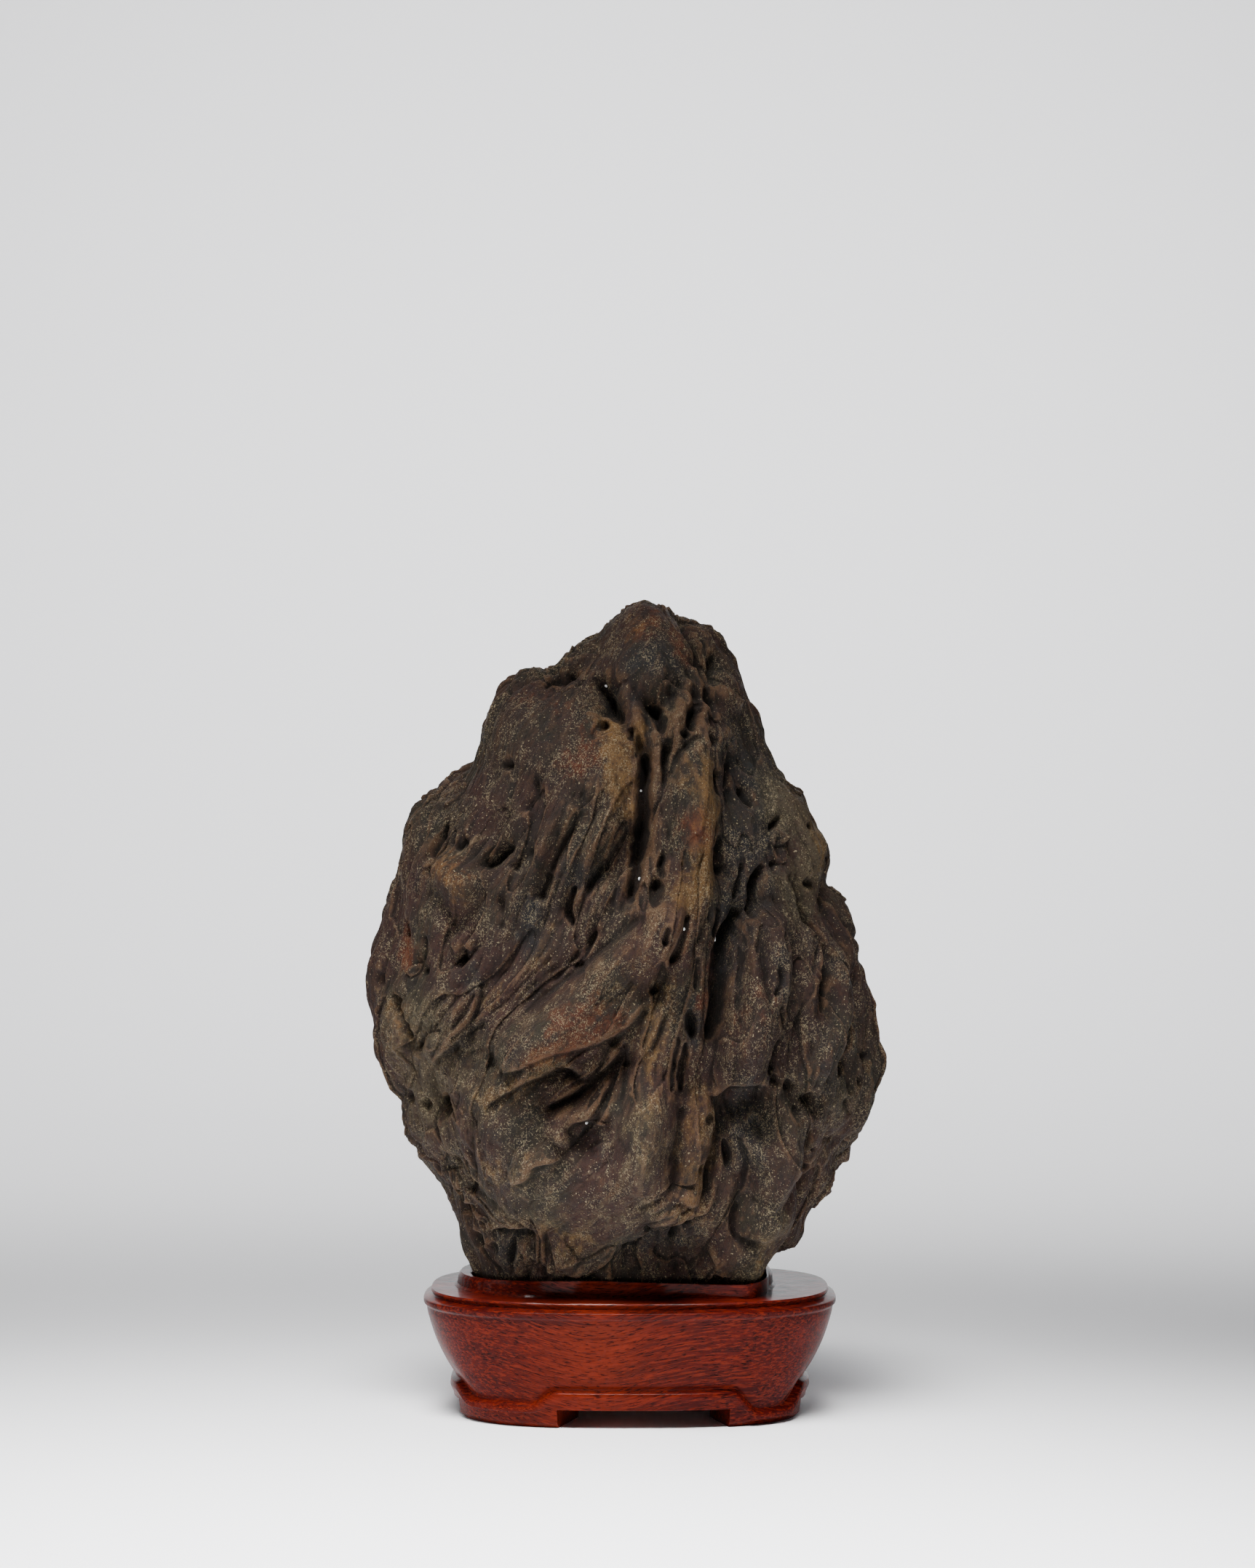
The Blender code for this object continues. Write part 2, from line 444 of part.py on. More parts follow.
# ---------------------------------------------------------------- the plain stone
def outline_by_angle():
    """The outline as a radius at each angle round the axis."""
    curve = smooth_curve(OUTLINE_LEFT + OUTLINE_FOOT + OUTLINE_RIGHT, 6, closed=True)
    across, up = curve[:, 0] - AXIS_X, curve[:, 1] - AXIS_Z
    angle, radius = np.arctan2(up, across), np.hypot(across, up)
    order = np.argsort(angle)
    angle, radius = angle[order], radius[order]
    angle = np.concatenate([angle[-1:] - 2 * np.pi, angle, angle[:1] + 2 * np.pi])
    radius = np.concatenate([radius[-1:], radius, radius[:1]])
    return angle, radius


OUTLINE_ANGLE, OUTLINE_RADIUS = outline_by_angle()


def outline_radius(angle):
    return np.interp(angle, OUTLINE_ANGLE, OUTLINE_RADIUS)


def calm_radius(angle):
    """The outline's radius with its small lobes averaged away."""
    turns = np.radians(np.arange(-AVERAGED_DEGREES, AVERAGED_DEGREES + 1.0, 2.0))
    weight = np.cos(turns * np.pi / turns[-1] / 2.0) ** 2
    total = sum(share * outline_radius(np.mod(angle + turn + np.pi, 2 * np.pi) - np.pi)
                for share, turn in zip(weight, turns))
    return total / weight.sum()


def depth_share(share_out):
    """How deep the plain stone is, 0 to 1, at a share of the way out to its outline."""
    return np.sqrt(1.0 - np.clip(share_out, 0.0, 1.0) ** FLATNESS)


def plain_stone(directions, lobed_rim):
    """The plain stone's surface, in mm, for unit directions from its middle. The lobes
    of the outline are only at the rim, and the front and back don't show them."""
    angle = np.arctan2(directions[:, 2], directions[:, 0])
    share_out = np.hypot(directions[:, 0], directions[:, 2])
    radius = calm_radius(angle)
    if lobed_rim:
        radius += (outline_radius(angle) - radius) * share_out ** RIM_POWER
    deepest = np.where(directions[:, 1] < 0, -FRONT_DEPTH, BACK_DEPTH)
    surface = np.column_stack([
        AXIS_X + radius * share_out * np.cos(angle),
        deepest * depth_share(share_out),
        AXIS_Z + radius * share_out * np.sin(angle)])
    surface[:, 2] = np.maximum(surface[:, 2], FOOT_CUT)
    return surface


def share_out_at(across, up):
    """The share of the way out to the outline at a place seen from the front."""
    angle = np.arctan2(up - AXIS_Z, across - AXIS_X)
    off = np.hypot(up - AXIS_Z, across - AXIS_X)
    calm, lobed = calm_radius(angle), outline_radius(angle)
    share = off / calm
    for _ in range(12):
        share = off / (calm + (lobed - calm) * np.minimum(share, 1.0) ** RIM_POWER)
    return share


def on_face(face, marks):
    """Lift the points of a mark, drawn on one face of the stone, to the plain stone."""
    marks = np.asarray(marks, dtype=float)
    up = marks[:, 1]
    if face in ("front", "back"):
        across = marks[:, 0]
        deepest = -FRONT_DEPTH if face == "front" else BACK_DEPTH
        return np.column_stack([across, deepest * depth_share(share_out_at(across, up)), up])
    along = marks[:, 0]
    side = -1.0 if face == "left" else 1.0
    deepest = np.where(along < 0, FRONT_DEPTH, BACK_DEPTH)
    share_out = (1.0 - np.clip(np.abs(along) / deepest, 0.0, 1.0) ** 2) ** (1.0 / FLATNESS)
    across = np.full_like(along, 100.0)
    for _ in range(30):
        reach = outline_radius(np.arctan2(up - AXIS_Z, side * across)) * share_out
        across = np.sqrt(np.maximum(reach ** 2 - (up - AXIS_Z) ** 2, 1.0))
    return np.column_stack([AXIS_X + side * across, along, up])


# ---------------------------------------------------------------- the marks
def follow(points, normals, path, reach):
    """Where the points lie by a path: which are in reach, how far off, how far along it
    (0 to 1) and on which side (positive on the left, seen from outside)."""
    middle = path.mean(axis=0)
    spread = np.linalg.norm(path - middle, axis=1).max() + reach
    near = np.flatnonzero(np.linalg.norm(points - middle, axis=1) < spread)
    best = np.full(len(near), np.inf)
    along, side = np.zeros(len(near)), np.zeros(len(near))
    spot, outward = points[near], normals[near]
    legs = max(len(path) - 1, 1)
    for leg, (start, end) in enumerate(zip(path, path[1:])):
        run = end - start
        share = np.clip((spot - start) @ run / (run @ run), 0.0, 1.0)
        offset = spot - start - share[:, None] * run
        distance = np.linalg.norm(offset, axis=1)
        closer = distance < best
        best[closer] = distance[closer]
        along[closer] = ((leg + share) / legs)[closer]
        left = np.cross(outward, run)
        side[closer] = np.einsum("ij,ij->i", left, offset)[closer]
    keep = best < reach
    return near[keep], best[keep], along[keep], side[keep]


def mark_path(face, marks):
    return on_face(face, smooth_curve(marks, PATH_STEPS))


def end_fade(along):
    """Marks run out to nothing at both of their ends."""
    return smoothstep(along / MARK_ENDS) * smoothstep((1.0 - along) / MARK_ENDS)


def swell_height(points, normals):
    height = np.zeros(len(points))
    for face, marks in SWELLS.items():
        for half_width, rise, spots in marks:
            near, off, _, _ = follow(points, normals, mark_path(face, spots), half_width)
            height[near] += rise * (1.0 - (off / half_width) ** 2) ** 2
    return height


def ledge_height(points, normals):
    height = np.zeros(len(points))
    for face, marks in LEDGES.items():
        for width, rise, spots in marks:
            near, off, along, side = follow(points, normals, mark_path(face, spots), width)
            share = off / np.where(side > 0, width, LEDGE_DROP * width)
            share = np.minimum(share, 1.0)
            lip = rise * (1.0 - share ** 2) ** 2 * end_fade(along)
            height[near] = np.maximum(height[near], lip)
    return height


def cut_depth(points, normals):
    """Slots, creases and pits: where they cross, the deeper one is kept."""
    depth = np.zeros(len(points))
    uneven = 1.0 + MARK_UNEVEN * lattice_noise(points / MARK_UNEVEN_SIZE, 5)
    for face, marks in SLOTS.items():
        for half_width, fall, spots in marks:
            reach = SLOT_FLANK * half_width
            near, off, along, _ = follow(points, normals, mark_path(face, spots), reach)
            swelling = np.sqrt(np.clip(np.sin(np.pi * along), 0.0, 1.0))
            narrowed = half_width * (SLOT_END_WIDTH + (1.0 - SLOT_END_WIDTH) * swelling)
            core = 1.0 - np.minimum(off / narrowed, 1.0) ** SLOT_ROUNDNESS
            flank = (1.0 - off / reach) ** 2
            steep = SLOT_STEEP_SHARE * core + (1.0 - SLOT_STEEP_SHARE) * flank
            cut = SLOT_DEEPER * fall * steep
            depth[near] = np.maximum(depth[near], cut)
    for face, marks in CREASES.items():
        for half_width, fall, spots in marks:
            reach = CREASE_FLANK * half_width
            near, off, along, _ = follow(points, normals, mark_path(face, spots), reach)
            cut = fall * (1.0 - off / reach) ** 2 * end_fade(along)
            depth[near] = np.maximum(depth[near], cut)
    for face, marks in PITS.items():
        for radius, fall, spot in marks:
            centre = on_face(face, [spot])[0]
            off = np.linalg.norm(points - centre, axis=1)
            near = np.flatnonzero(off < PIT_FLANK * radius)
            cut = fall * (1.0 - (off[near] / (PIT_FLANK * radius)) ** 2) ** 2
            depth[near] = np.maximum(depth[near], cut)
    return depth * uneven


# ---------------------------------------------------------------- the grain
def lattice_noise(places, seed):
    """Smooth noise, about -0.7 to 0.7, that changes over a distance of 1."""
    cell = np.floor(places).astype(np.int64)
    inside = places - cell
    ease = inside ** 3 * (inside * (inside * 6 - 15) + 10)
    total = np.zeros(len(places))
    for corner in product((0, 1), repeat=3):
        key = (cell + corner) @ np.array([374761393, 668265263, 2147483647]) + seed * 69069
        key = ((key ^ (key >> 13)) * 1274126177) & 0x7FFFFFFF
        key = ((key ^ (key >> 16)) * 2654435) & 0x7FFFFFFF
        gradient = np.column_stack([key & 1023, (key >> 10) & 1023, (key >> 20) & 1023])
        gradient = gradient / 511.5 - 1.0
        weight = np.prod(np.where(corner, ease, 1.0 - ease), axis=1)
        total += weight * np.einsum("ij,ij->i", gradient, inside - corner)
    return total


def grain_direction(points):
    """The way the furrows run at each point, in degrees from +X."""
    flow = np.zeros((len(points), 2))
    for face, spots in GRAIN.items():
        for across, up, degrees in spots:
            place = on_face(face, [(across, up)])[0]
            weight = 1.0 / (((points - place) ** 2).sum(axis=1) + GRAIN_REACH ** 2) ** 2
            turn = math.radians(degrees)
            flow += weight[:, None] * (math.cos(turn), math.sin(turn))
    return np.degrees(np.arctan2(flow[:, 1], flow[:, 0]))


def grain_strength(points):
    strength = np.ones(len(points))
    for across, up, radius, share in CALM:
        place = on_face("front", [(across, up)])[0]
        off = np.linalg.norm(points - place, axis=1) / radius
        fade = smoothstep((off - CALM_CORE) / (1.0 - CALM_CORE))
        strength = np.minimum(strength, share + (1.0 - share) * fade)
    return strength


def combed_noise(points, direction, across, along, seed):
    """Noise drawn out along the grain: a blend of noises drawn out in fixed directions."""
    total = np.zeros(len(points))
    spacing = COMB_ANGLES[1] - COMB_ANGLES[0]
    direction = np.clip(direction, COMB_ANGLES[0], COMB_ANGLES[-1])
    for number, angle in enumerate(COMB_ANGLES):
        weight = np.clip(1.0 - np.abs(direction - angle) / spacing, 0.0, 1.0)
        axis = np.array([math.cos(math.radians(angle)), 0.0, math.sin(math.radians(angle))])
        length_on_axis = (points @ axis)[:, None] * axis
        places = (points - length_on_axis) / across + length_on_axis / along
        total += weight * lattice_noise(places + 17.0 * number, seed)
    return total


def grain_depth(surface):
    """Furrows with rounded ridges between them, and flakes that overlap like shingles."""
    direction = grain_direction(surface)
    wander = np.column_stack([
        lattice_noise(surface / GRAIN_WANDER_SIZE, seed) for seed in (11, 12, 13)])
    combed = surface + GRAIN_WANDER * wander
    depth = np.zeros(len(surface))
    for number, (across, along, fall) in enumerate(FURROWS):
        furrow = np.abs(combed_noise(combed, direction, across, along, 20 + number))
        depth += fall * (1.0 - np.minimum(FURROW_STEEPNESS * furrow, 1.0)) ** FURROW_SHARPNESS
    layer = FLAKE_LAYERS * combed_noise(combed, direction, FLAKE_ACROSS, FLAKE_ALONG, 30)
    depth += FLAKE_STEP * smoothstep((layer - np.floor(layer)) / FLAKE_SLOPE)
    return depth


def worn_stone(surface, normals):
    """The plain stone's surface with its swells, ledges, cuts and grain."""
    marked = surface.copy()
    for reach, size, seed in MARK_WANDERS:
        marked += reach * np.column_stack([
            lattice_noise(surface / size, seed + axis) for axis in range(3)])
    rise = swell_height(marked, normals) + ledge_height(marked, normals)
    rise += LUMP_HEIGHT * lattice_noise(surface / LUMP_SIZE, 4)
    # The outline already has the lobes that stick out at the rim.
    facing = RIM_RELIEF + (1.0 - RIM_RELIEF) * smoothstep(np.abs(normals[:, 1]) / RIM_TURN)
    rise = np.where(rise > 0, rise * facing, rise)
    mean = GRAIN_MEAN * (1.0 + facing) / 2.0
    rise -= (grain_depth(surface) - mean) * grain_strength(surface)
    rise -= cut_depth(marked, normals)
    rise *= smoothstep((surface[:, 2] - SMOOTH_BELOW) / SMOOTH_BLEND)
    return surface + rise[:, None] * normals


# ---------------------------------------------------------------- Blender helpers
def clear_scene():
    for thing in list(bpy.data.objects):
        bpy.data.objects.remove(thing)


def new_collection(name):
    collection = bpy.data.collections.new(name)
    bpy.context.scene.collection.children.link(collection)
    return collection


def move_to(thing, collection):
    for old in list(thing.users_collection):
        old.objects.unlink(thing)
    collection.objects.link(thing)


def principled(name, colour, roughness):
    material = bpy.data.materials.new(name)
    material.use_nodes = True
    shader = material.node_tree.nodes["Principled BSDF"]
    shader.inputs["Base Color"].default_value = (*colour, 1.0)
    shader.inputs["Roughness"].default_value = roughness
    shader.inputs["Metallic"].default_value = 0.0
    return material


def vertex_array(mesh):
    flat = np.empty(len(mesh.vertices) * 3)
    mesh.vertices.foreach_get("co", flat)
    return flat.reshape(-1, 3)


def set_vertices(mesh, places):
    mesh.vertices.foreach_set("co", np.ascontiguousarray(places).ravel())
    mesh.update()


def normal_array(mesh):
    flat = np.empty(len(mesh.vertices) * 3)
    mesh.vertex_normals.foreach_get("vector", flat)
    return flat.reshape(-1, 3)


def evaluated_mesh(thing):
    bpy.context.view_layer.update()
    graph = bpy.context.evaluated_depsgraph_get()
    return bpy.data.meshes.new_from_object(thing.evaluated_get(graph))


# ---------------------------------------------------------------- the two pieces
def make_rock(collection):
    bpy.ops.mesh.primitive_ico_sphere_add(subdivisions=STONE_LEVEL, radius=1.0)
    rock = bpy.context.object
    rock.name = rock.data.name = "rock"
    move_to(rock, collection)
    directions = vertex_array(rock.data)
    set_vertices(rock.data, plain_stone(directions, lobed_rim=False))
    normals = normal_array(rock.data)
    surface = plain_stone(directions, lobed_rim=True)
    set_vertices(rock.data, (worn_stone(surface, normals) - MIDDLE) * MM)
    thin = rock.modifiers.new("fewer faces", "DECIMATE")
    thin.ratio = STONE_TRIANGLES / len(rock.data.polygons)
    rock.data.materials.append(principled("stone", (0.16, 0.12, 0.095), 0.7))
    return rock


def seat_cutter(rock, collection):
    """The stone as it is built, a hair larger all over: what is taken out of the stand."""
    mesh = evaluated_mesh(rock)
    set_vertices(mesh, vertex_array(mesh) + SEAT_GAP * MM * normal_array(mesh))
    cutter = bpy.data.objects.new("seat_cutter", mesh)
    collection.objects.link(cutter)
    return cutter


def plan_ring(half_width, half_depth):
    """Points round the stand's plan, anticlockwise from +X, in mm."""
    angle = np.arange(RING_POINTS) * 2 * np.pi / RING_POINTS
    cosine, sine = np.cos(angle), np.sin(angle)
    power = 2.0 / SQUARENESS
    across = STAND_X + half_width * np.sign(cosine) * np.abs(cosine) ** power
    deep = half_depth * np.sign(sine) * np.abs(sine) ** power
    return across, deep


def over_foot(across, deep):
    """1 over the stand's feet and 0 over its openings, with a curve between."""
    past_front = np.maximum(across - ARCH_FRONT[1], ARCH_FRONT[0] - across)
    past_end = np.abs(deep) - ARCH_END
    return smoothstep(np.minimum(past_front, past_end) / BEAD_STEP)


def collar_lobe(turn):
    """How far the collar's carving stands out at a turn, in mm."""
    total = 0.0
    for degrees, half_width, out in COLLAR_LOBES:
        off = (np.degrees(turn) - degrees + 180.0) % 360.0 - 180.0
        total = total + out * np.exp(-(off / half_width) ** 2)
    return total


def collar_ring(height, outward):
    """Points round the stone's foot, at a distance out from it, in mm."""
    across, deep = plan_ring(*STAND_RINGS[-1][1:3])
    reach = np.arange(0.0, COLLAR_FARTHEST, COLLAR_SHARPNESS)
    wave = COLLAR_WAVE_UP if height > COLLAR_LEVEL_BELOW else 0.0
    ring = []
    for turn in np.arctan2(deep, across - STAND_X):
        spots_x, spots_y = COLLAR_X + reach * math.cos(turn), reach * math.sin(turn)
        out = share_out_at(spots_x, np.full_like(spots_x, COLLAR_PLAN_HEIGHT))
        half = np.where(spots_y < 0, FRONT_DEPTH, BACK_DEPTH) * depth_share(out)
        edge = reach[np.flatnonzero(np.abs(spots_y) >= half)[0]]
        edge += outward + collar_lobe(turn)
        ring.append((COLLAR_X + edge * math.cos(turn),
                     edge * math.sin(turn),
                     height + wave * math.sin(COLLAR_WAVES * turn + COLLAR_WAVE_TURN)))
    return ring


def loft(rings):
    """A closed solid through rings of points, bottom to top."""
    shape = bmesh.new()
    loops = [[shape.verts.new((np.array(point) - MIDDLE) * MM) for point in ring]
             for ring in rings]
    for lower, upper in zip(loops, loops[1:]):
        for here in range(len(lower)):
            there = (here + 1) % len(lower)
            shape.faces.new((lower[here], lower[there], upper[there], upper[here]))
    shape.faces.new(list(reversed(loops[0])))
    shape.faces.new(loops[-1])
    mesh = bpy.data.meshes.new("loft")
    shape.to_mesh(mesh)
    shape.free()
    return mesh


def opening_cutter(name, corners, collection):
    """A prism under the block, between the feet, from a plan outline in mm."""
    low = [(x, y, -CUT_PAST_Z) for x, y in corners]
    high = [(x, y, ARCH_HEIGHT) for x, y in corners]
    cutter = bpy.data.objects.new(name, loft([low, high]))
    collection.objects.link(cutter)
    return cutter


def opening_plans():
    """The two openings that cross under the block, as plan outlines: each narrows from
    its ends to the middle."""
    left, right = ARCH_FRONT
    waist_left, waist_right = left + ARCH_NARROWING, right - ARCH_NARROWING
    past, near, waist = CUT_PAST_Y, OPENING_STRAIGHT, OPENING_WAIST
    front_to_back = [
        (left, -past), (right, -past), (right, -near), (waist_right, -waist),
        (waist_right, waist), (right, near), (right, past), (left, past),
        (left, near), (waist_left, waist), (waist_left, -waist), (left, -near)]
    end_to_end = [(-CUT_PAST_X, -ARCH_END), (CUT_PAST_X, -ARCH_END),
                  (CUT_PAST_X, ARCH_END), (-CUT_PAST_X, ARCH_END)]
    return front_to_back, end_to_end


def make_stand(collection, cutters, rock):
    rings = []
    for height, half_width, half_depth, stepped in STAND_RINGS:
        across, deep = plan_ring(half_width, half_depth)
        drop = np.where(across < STAND_X, *BEAD_DROP) * over_foot(across, deep) * stepped
        rings.append(list(zip(across, deep, height - drop)))
    rings += [collar_ring(height, outward) for height, outward in COLLAR_RINGS]
    stand = bpy.data.objects.new("stand", loft(rings))
    stand.data.name = "stand"
    collection.objects.link(stand)
    front_to_back, end_to_end = opening_plans()
    tools = [
        opening_cutter("opening_front_to_back", front_to_back, cutters),
        opening_cutter("opening_end_to_end", end_to_end, cutters),
        seat_cutter(rock, cutters)]
    for tool in tools:
        tool.hide_render = True
        tool.display_type = "WIRE"
        cut = stand.modifiers.new(tool.name, "BOOLEAN")
        cut.operation = "DIFFERENCE"
        cut.solver = "EXACT"
        cut.object = tool
    stand.data.materials.append(principled("rosewood", (0.22, 0.045, 0.022), 0.35))
    return stand


def main():
    clear_scene()
    collection = new_collection("scholars_rock")
    cutters = new_collection("cutters")
    rock = make_rock(collection)
    make_stand(collection, cutters, rock)


main()
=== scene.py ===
"""The looks of a scholar's rock standing in its carved rosewood stand.

The stone is shaped from the same outline, swells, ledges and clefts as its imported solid,
then combed with finer furrows and thinned to a mesh that keeps its edges. The stand goes
through the same rings, with rounded mouldings. Sizes are in millimetres until a mesh is
made from them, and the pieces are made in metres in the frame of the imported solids.
"""
import math
from itertools import product

import bmesh
import bpy
import numpy as np
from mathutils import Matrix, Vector
from mathutils.kdtree import KDTree


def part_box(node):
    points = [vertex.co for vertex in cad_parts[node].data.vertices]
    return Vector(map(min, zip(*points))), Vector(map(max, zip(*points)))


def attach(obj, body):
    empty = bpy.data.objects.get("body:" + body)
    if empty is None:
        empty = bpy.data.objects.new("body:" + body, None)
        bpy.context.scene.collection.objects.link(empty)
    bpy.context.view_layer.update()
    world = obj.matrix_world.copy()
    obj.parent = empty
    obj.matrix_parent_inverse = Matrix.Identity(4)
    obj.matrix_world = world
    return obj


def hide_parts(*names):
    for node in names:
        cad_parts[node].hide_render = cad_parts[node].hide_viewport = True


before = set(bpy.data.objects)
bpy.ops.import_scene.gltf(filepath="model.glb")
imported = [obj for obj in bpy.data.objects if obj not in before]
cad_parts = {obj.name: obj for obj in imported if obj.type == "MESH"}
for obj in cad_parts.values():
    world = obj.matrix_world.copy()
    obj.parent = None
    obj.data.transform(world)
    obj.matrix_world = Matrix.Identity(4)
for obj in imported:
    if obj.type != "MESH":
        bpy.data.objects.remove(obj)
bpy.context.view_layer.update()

MM = 0.001
# The sizes below are drawn round an axis of their own; this is where the middle of the
# whole thing falls on that drawing, seen from above, and it goes to the origin.
MIDDLE = np.array([0.0, -3.7, 0.0])

# ---------------------------------------------------------------- driving sizes, stone
AXIS_X, AXIS_Z = 0.0, 205.0     # the line, front to back, that the outline is drawn round
FRONT_DEPTH = 70.0              # from the middle plane to the front, before the lobes
BACK_DEPTH = 72.0
FLATNESS = 2.2                  # over 2: the faces are flatter than an ellipsoid's
AVERAGED_DEGREES = 14.0         # the outline's lobes are averaged over this each way
RIM_POWER = 5                   # how closely they keep to the rim
FOOT_CUT = 54.0                 # the stone ends flat at this height, inside the seat
SMOOTH_BELOW = 64.0             # below this the stone is plain, because the seat holds it
SMOOTH_BLEND = 8.0

# The stone's outline from the front, (x, z), anticlockwise from the peak's right side.
OUTLINE_LEFT = [
    (-1, 396), (-9, 390), (-19, 384), (-28, 379), (-33, 372), (-37, 369), (-43, 369),
    (-48, 370), (-53, 368), (-60, 362), (-64, 355), (-67, 345), (-71, 336), (-76, 325),
    (-82, 317), (-94, 309), (-104, 303), (-110, 295), (-113, 285), (-115, 271),
    (-118, 257), (-121, 246), (-121, 235), (-125, 223), (-128, 209), (-128, 198),
    (-126, 186), (-123, 174), (-121, 165), (-119, 158), (-115, 147), (-111, 136),
    (-104, 125), (-97, 115), (-91, 104), (-85, 92), (-82, 83), (-78, 74), (-75, 67)]
OUTLINE_FOOT = [(-68, 56), (-48, 48), (-20, 44), (10, 44), (40, 47), (58, 54)]
OUTLINE_RIGHT = [
    (67, 64), (72, 73), (76, 76), (81, 77), (86, 78), (90, 85), (92, 94), (98, 104),
    (107, 117), (113, 129), (121, 142), (126, 159), (127, 172), (124, 183), (121, 202),
    (119, 217), (115, 224), (114, 239), (109, 250), (102, 259), (101, 265), (102, 275),
    (102, 284), (97, 292), (93, 303), (87, 311), (80, 318), (73, 332), (68, 343),
    (63, 353), (61, 360), (56, 371), (52, 379), (46, 387), (37, 392), (29, 395),
    (20, 399), (10, 400)]

# How the marks below are shaped.
MARK_ENDS = 0.22                # share of a mark's length in which it runs out at each end
LEDGE_DROP = 0.2                # width of a ledge's steep side, as a share of its slope
SLOT_DEEPER = 1.1               # every slot's depth is multiplied by this
SLOT_FLANK = 2.6                # reach of a slot's sloping sides, in half-widths
SLOT_ROUNDNESS = 1.25           # 1: its core is a V, 2: a U
MARK_UNEVEN, MARK_UNEVEN_SIZE = 0.45, 9.0    # how unevenly deep the cuts are
SLOT_STEEP_SHARE = 0.55         # share of a slot's depth that is in its steep core
SLOT_END_WIDTH = 0.5            # how wide a slot still is at its ends
PIT_FLANK = 1.5                 # reach of a pit, in radii
CREASE_FLANK = 1.6              # reach of a crease's sides, in half-widths
RIM_RELIEF = 0.2                # share of the raised marks kept where the stone turns away
RIM_TURN = 0.4                  # how far it faces the front or back before all of it is kept
PATH_STEPS = 5                  # steps between each two points of a mark

# What the water left on the stone. Each mark is a half-width, a height (or a depth) and
# the points that it follows; on the front and back they are (x, z), on the ends (y, z).

# Swells: broad rounded forms, raised where the height is positive.
SWELLS = {
    "front": [
        (48, 13, [(-55, 142), (-31, 122), (-3, 129)]),             # the lower bulge
        (21, 14, [(13, 240), (-8, 219), (-33, 199), (-47, 188)]),   # the arm across the middle
        (50, 4, [(-72, 333), (-35, 315)]),
        (40, 5, [(-83, 256), (-90, 204)]),
        (20, 12, [(31, 336), (33, 284), (24, 233), (15, 181), (10, 129)]),   # central ridge
        (26, 7, [(7, 388), (12, 368)]),                            # the knob at the peak
        (18, 14, [(69, 238), (67, 215), (58, 182)]),                # the finger
        (30, 5, [(85, 294), (104, 258)]),
        (28, 4, [(104, 220), (99, 189), (92, 155)]),
        (28, 12, [(73, 134), (65, 98), (53, 73)]),
        (13, 9, [(36, 152), (34, 133), (29, 119), (20, 110)]),      # the tongue
        (22, -8, [(5, 82), (24, 80)]),                             # recess under the bulge
        (12, -7, [(1, 287), (-7, 275), (-19, 266)]),
        (8, -4, [(-17, 301), (-23, 290), (-30, 282), (-37, 272)]),
        (12, -8, [(52, 157), (66, 156), (66, 146)]),               # hollow under the finger
        (9, -5, [(82, 159), (88, 157)]),
        (14, -5, [(-8, 180), (-22, 168), (-34, 164)]),             # shade under the arm
        (11, -5, [(57, 320), (54, 300), (50, 284), (47, 272)]),
        (12, -4, [(-14, 354), (2, 350), (20, 350)]),               # under the knob
        (13, 5, [(-86, 268), (-78, 260)]),                         # on the left shoulder
        (10, 4, [(-92, 247), (-90, 242)]),
        (5, 4, [(15, 333), (15, 318), (13, 303)]),
        (6, 5, [(32, 356), (27, 344), (21, 333)]),                 # teeth under the knob
        (6, 4, [(-1, 354), (5, 344), (7, 335)]),
        (5, 4, [(35, 364), (38, 353), (37, 342)]),
        (8, 3, [(-50, 211), (-52, 200), (-62, 186)]),
        (9, 5, [(92, 236), (90, 220), (84, 204)]),
        (9, 6, [(104, 228), (103, 215), (105, 204), (99, 189), (91, 174)]),
        (10, 5, [(77, 132), (67, 114), (63, 98)]),
        (8, -4, [(59, 124), (56, 112)])],
    "back": [
        (46, 9, [(38, 152), (5, 128), (-25, 136)]),
        (26, 8, [(-40, 330), (-55, 270), (-70, 210)]),
        (22, 8, [(20, 375), (6, 320), (12, 260), (26, 205)]),
        (30, 7, [(75, 290), (85, 230), (80, 170)]),
        (26, 6, [(-85, 180), (-75, 130)]),
        (22, -10, [(-12, 84), (24, 80)]),
        (14, -9, [(-20, 245), (-28, 215)])],
    "left": [
        (24, 3, [(-20, 290), (-12, 235), (-18, 180)]),
        (20, 5, [(28, 250), (34, 190)]),
        (16, 5, [(8, 130), (4, 100)])],
    "right": [
        (22, 4, [(-18, 250), (-14, 195), (-20, 150)]),
        (22, 6, [(26, 270), (30, 215)]),
        (18, 5, [(10, 130), (14, 105)])]}

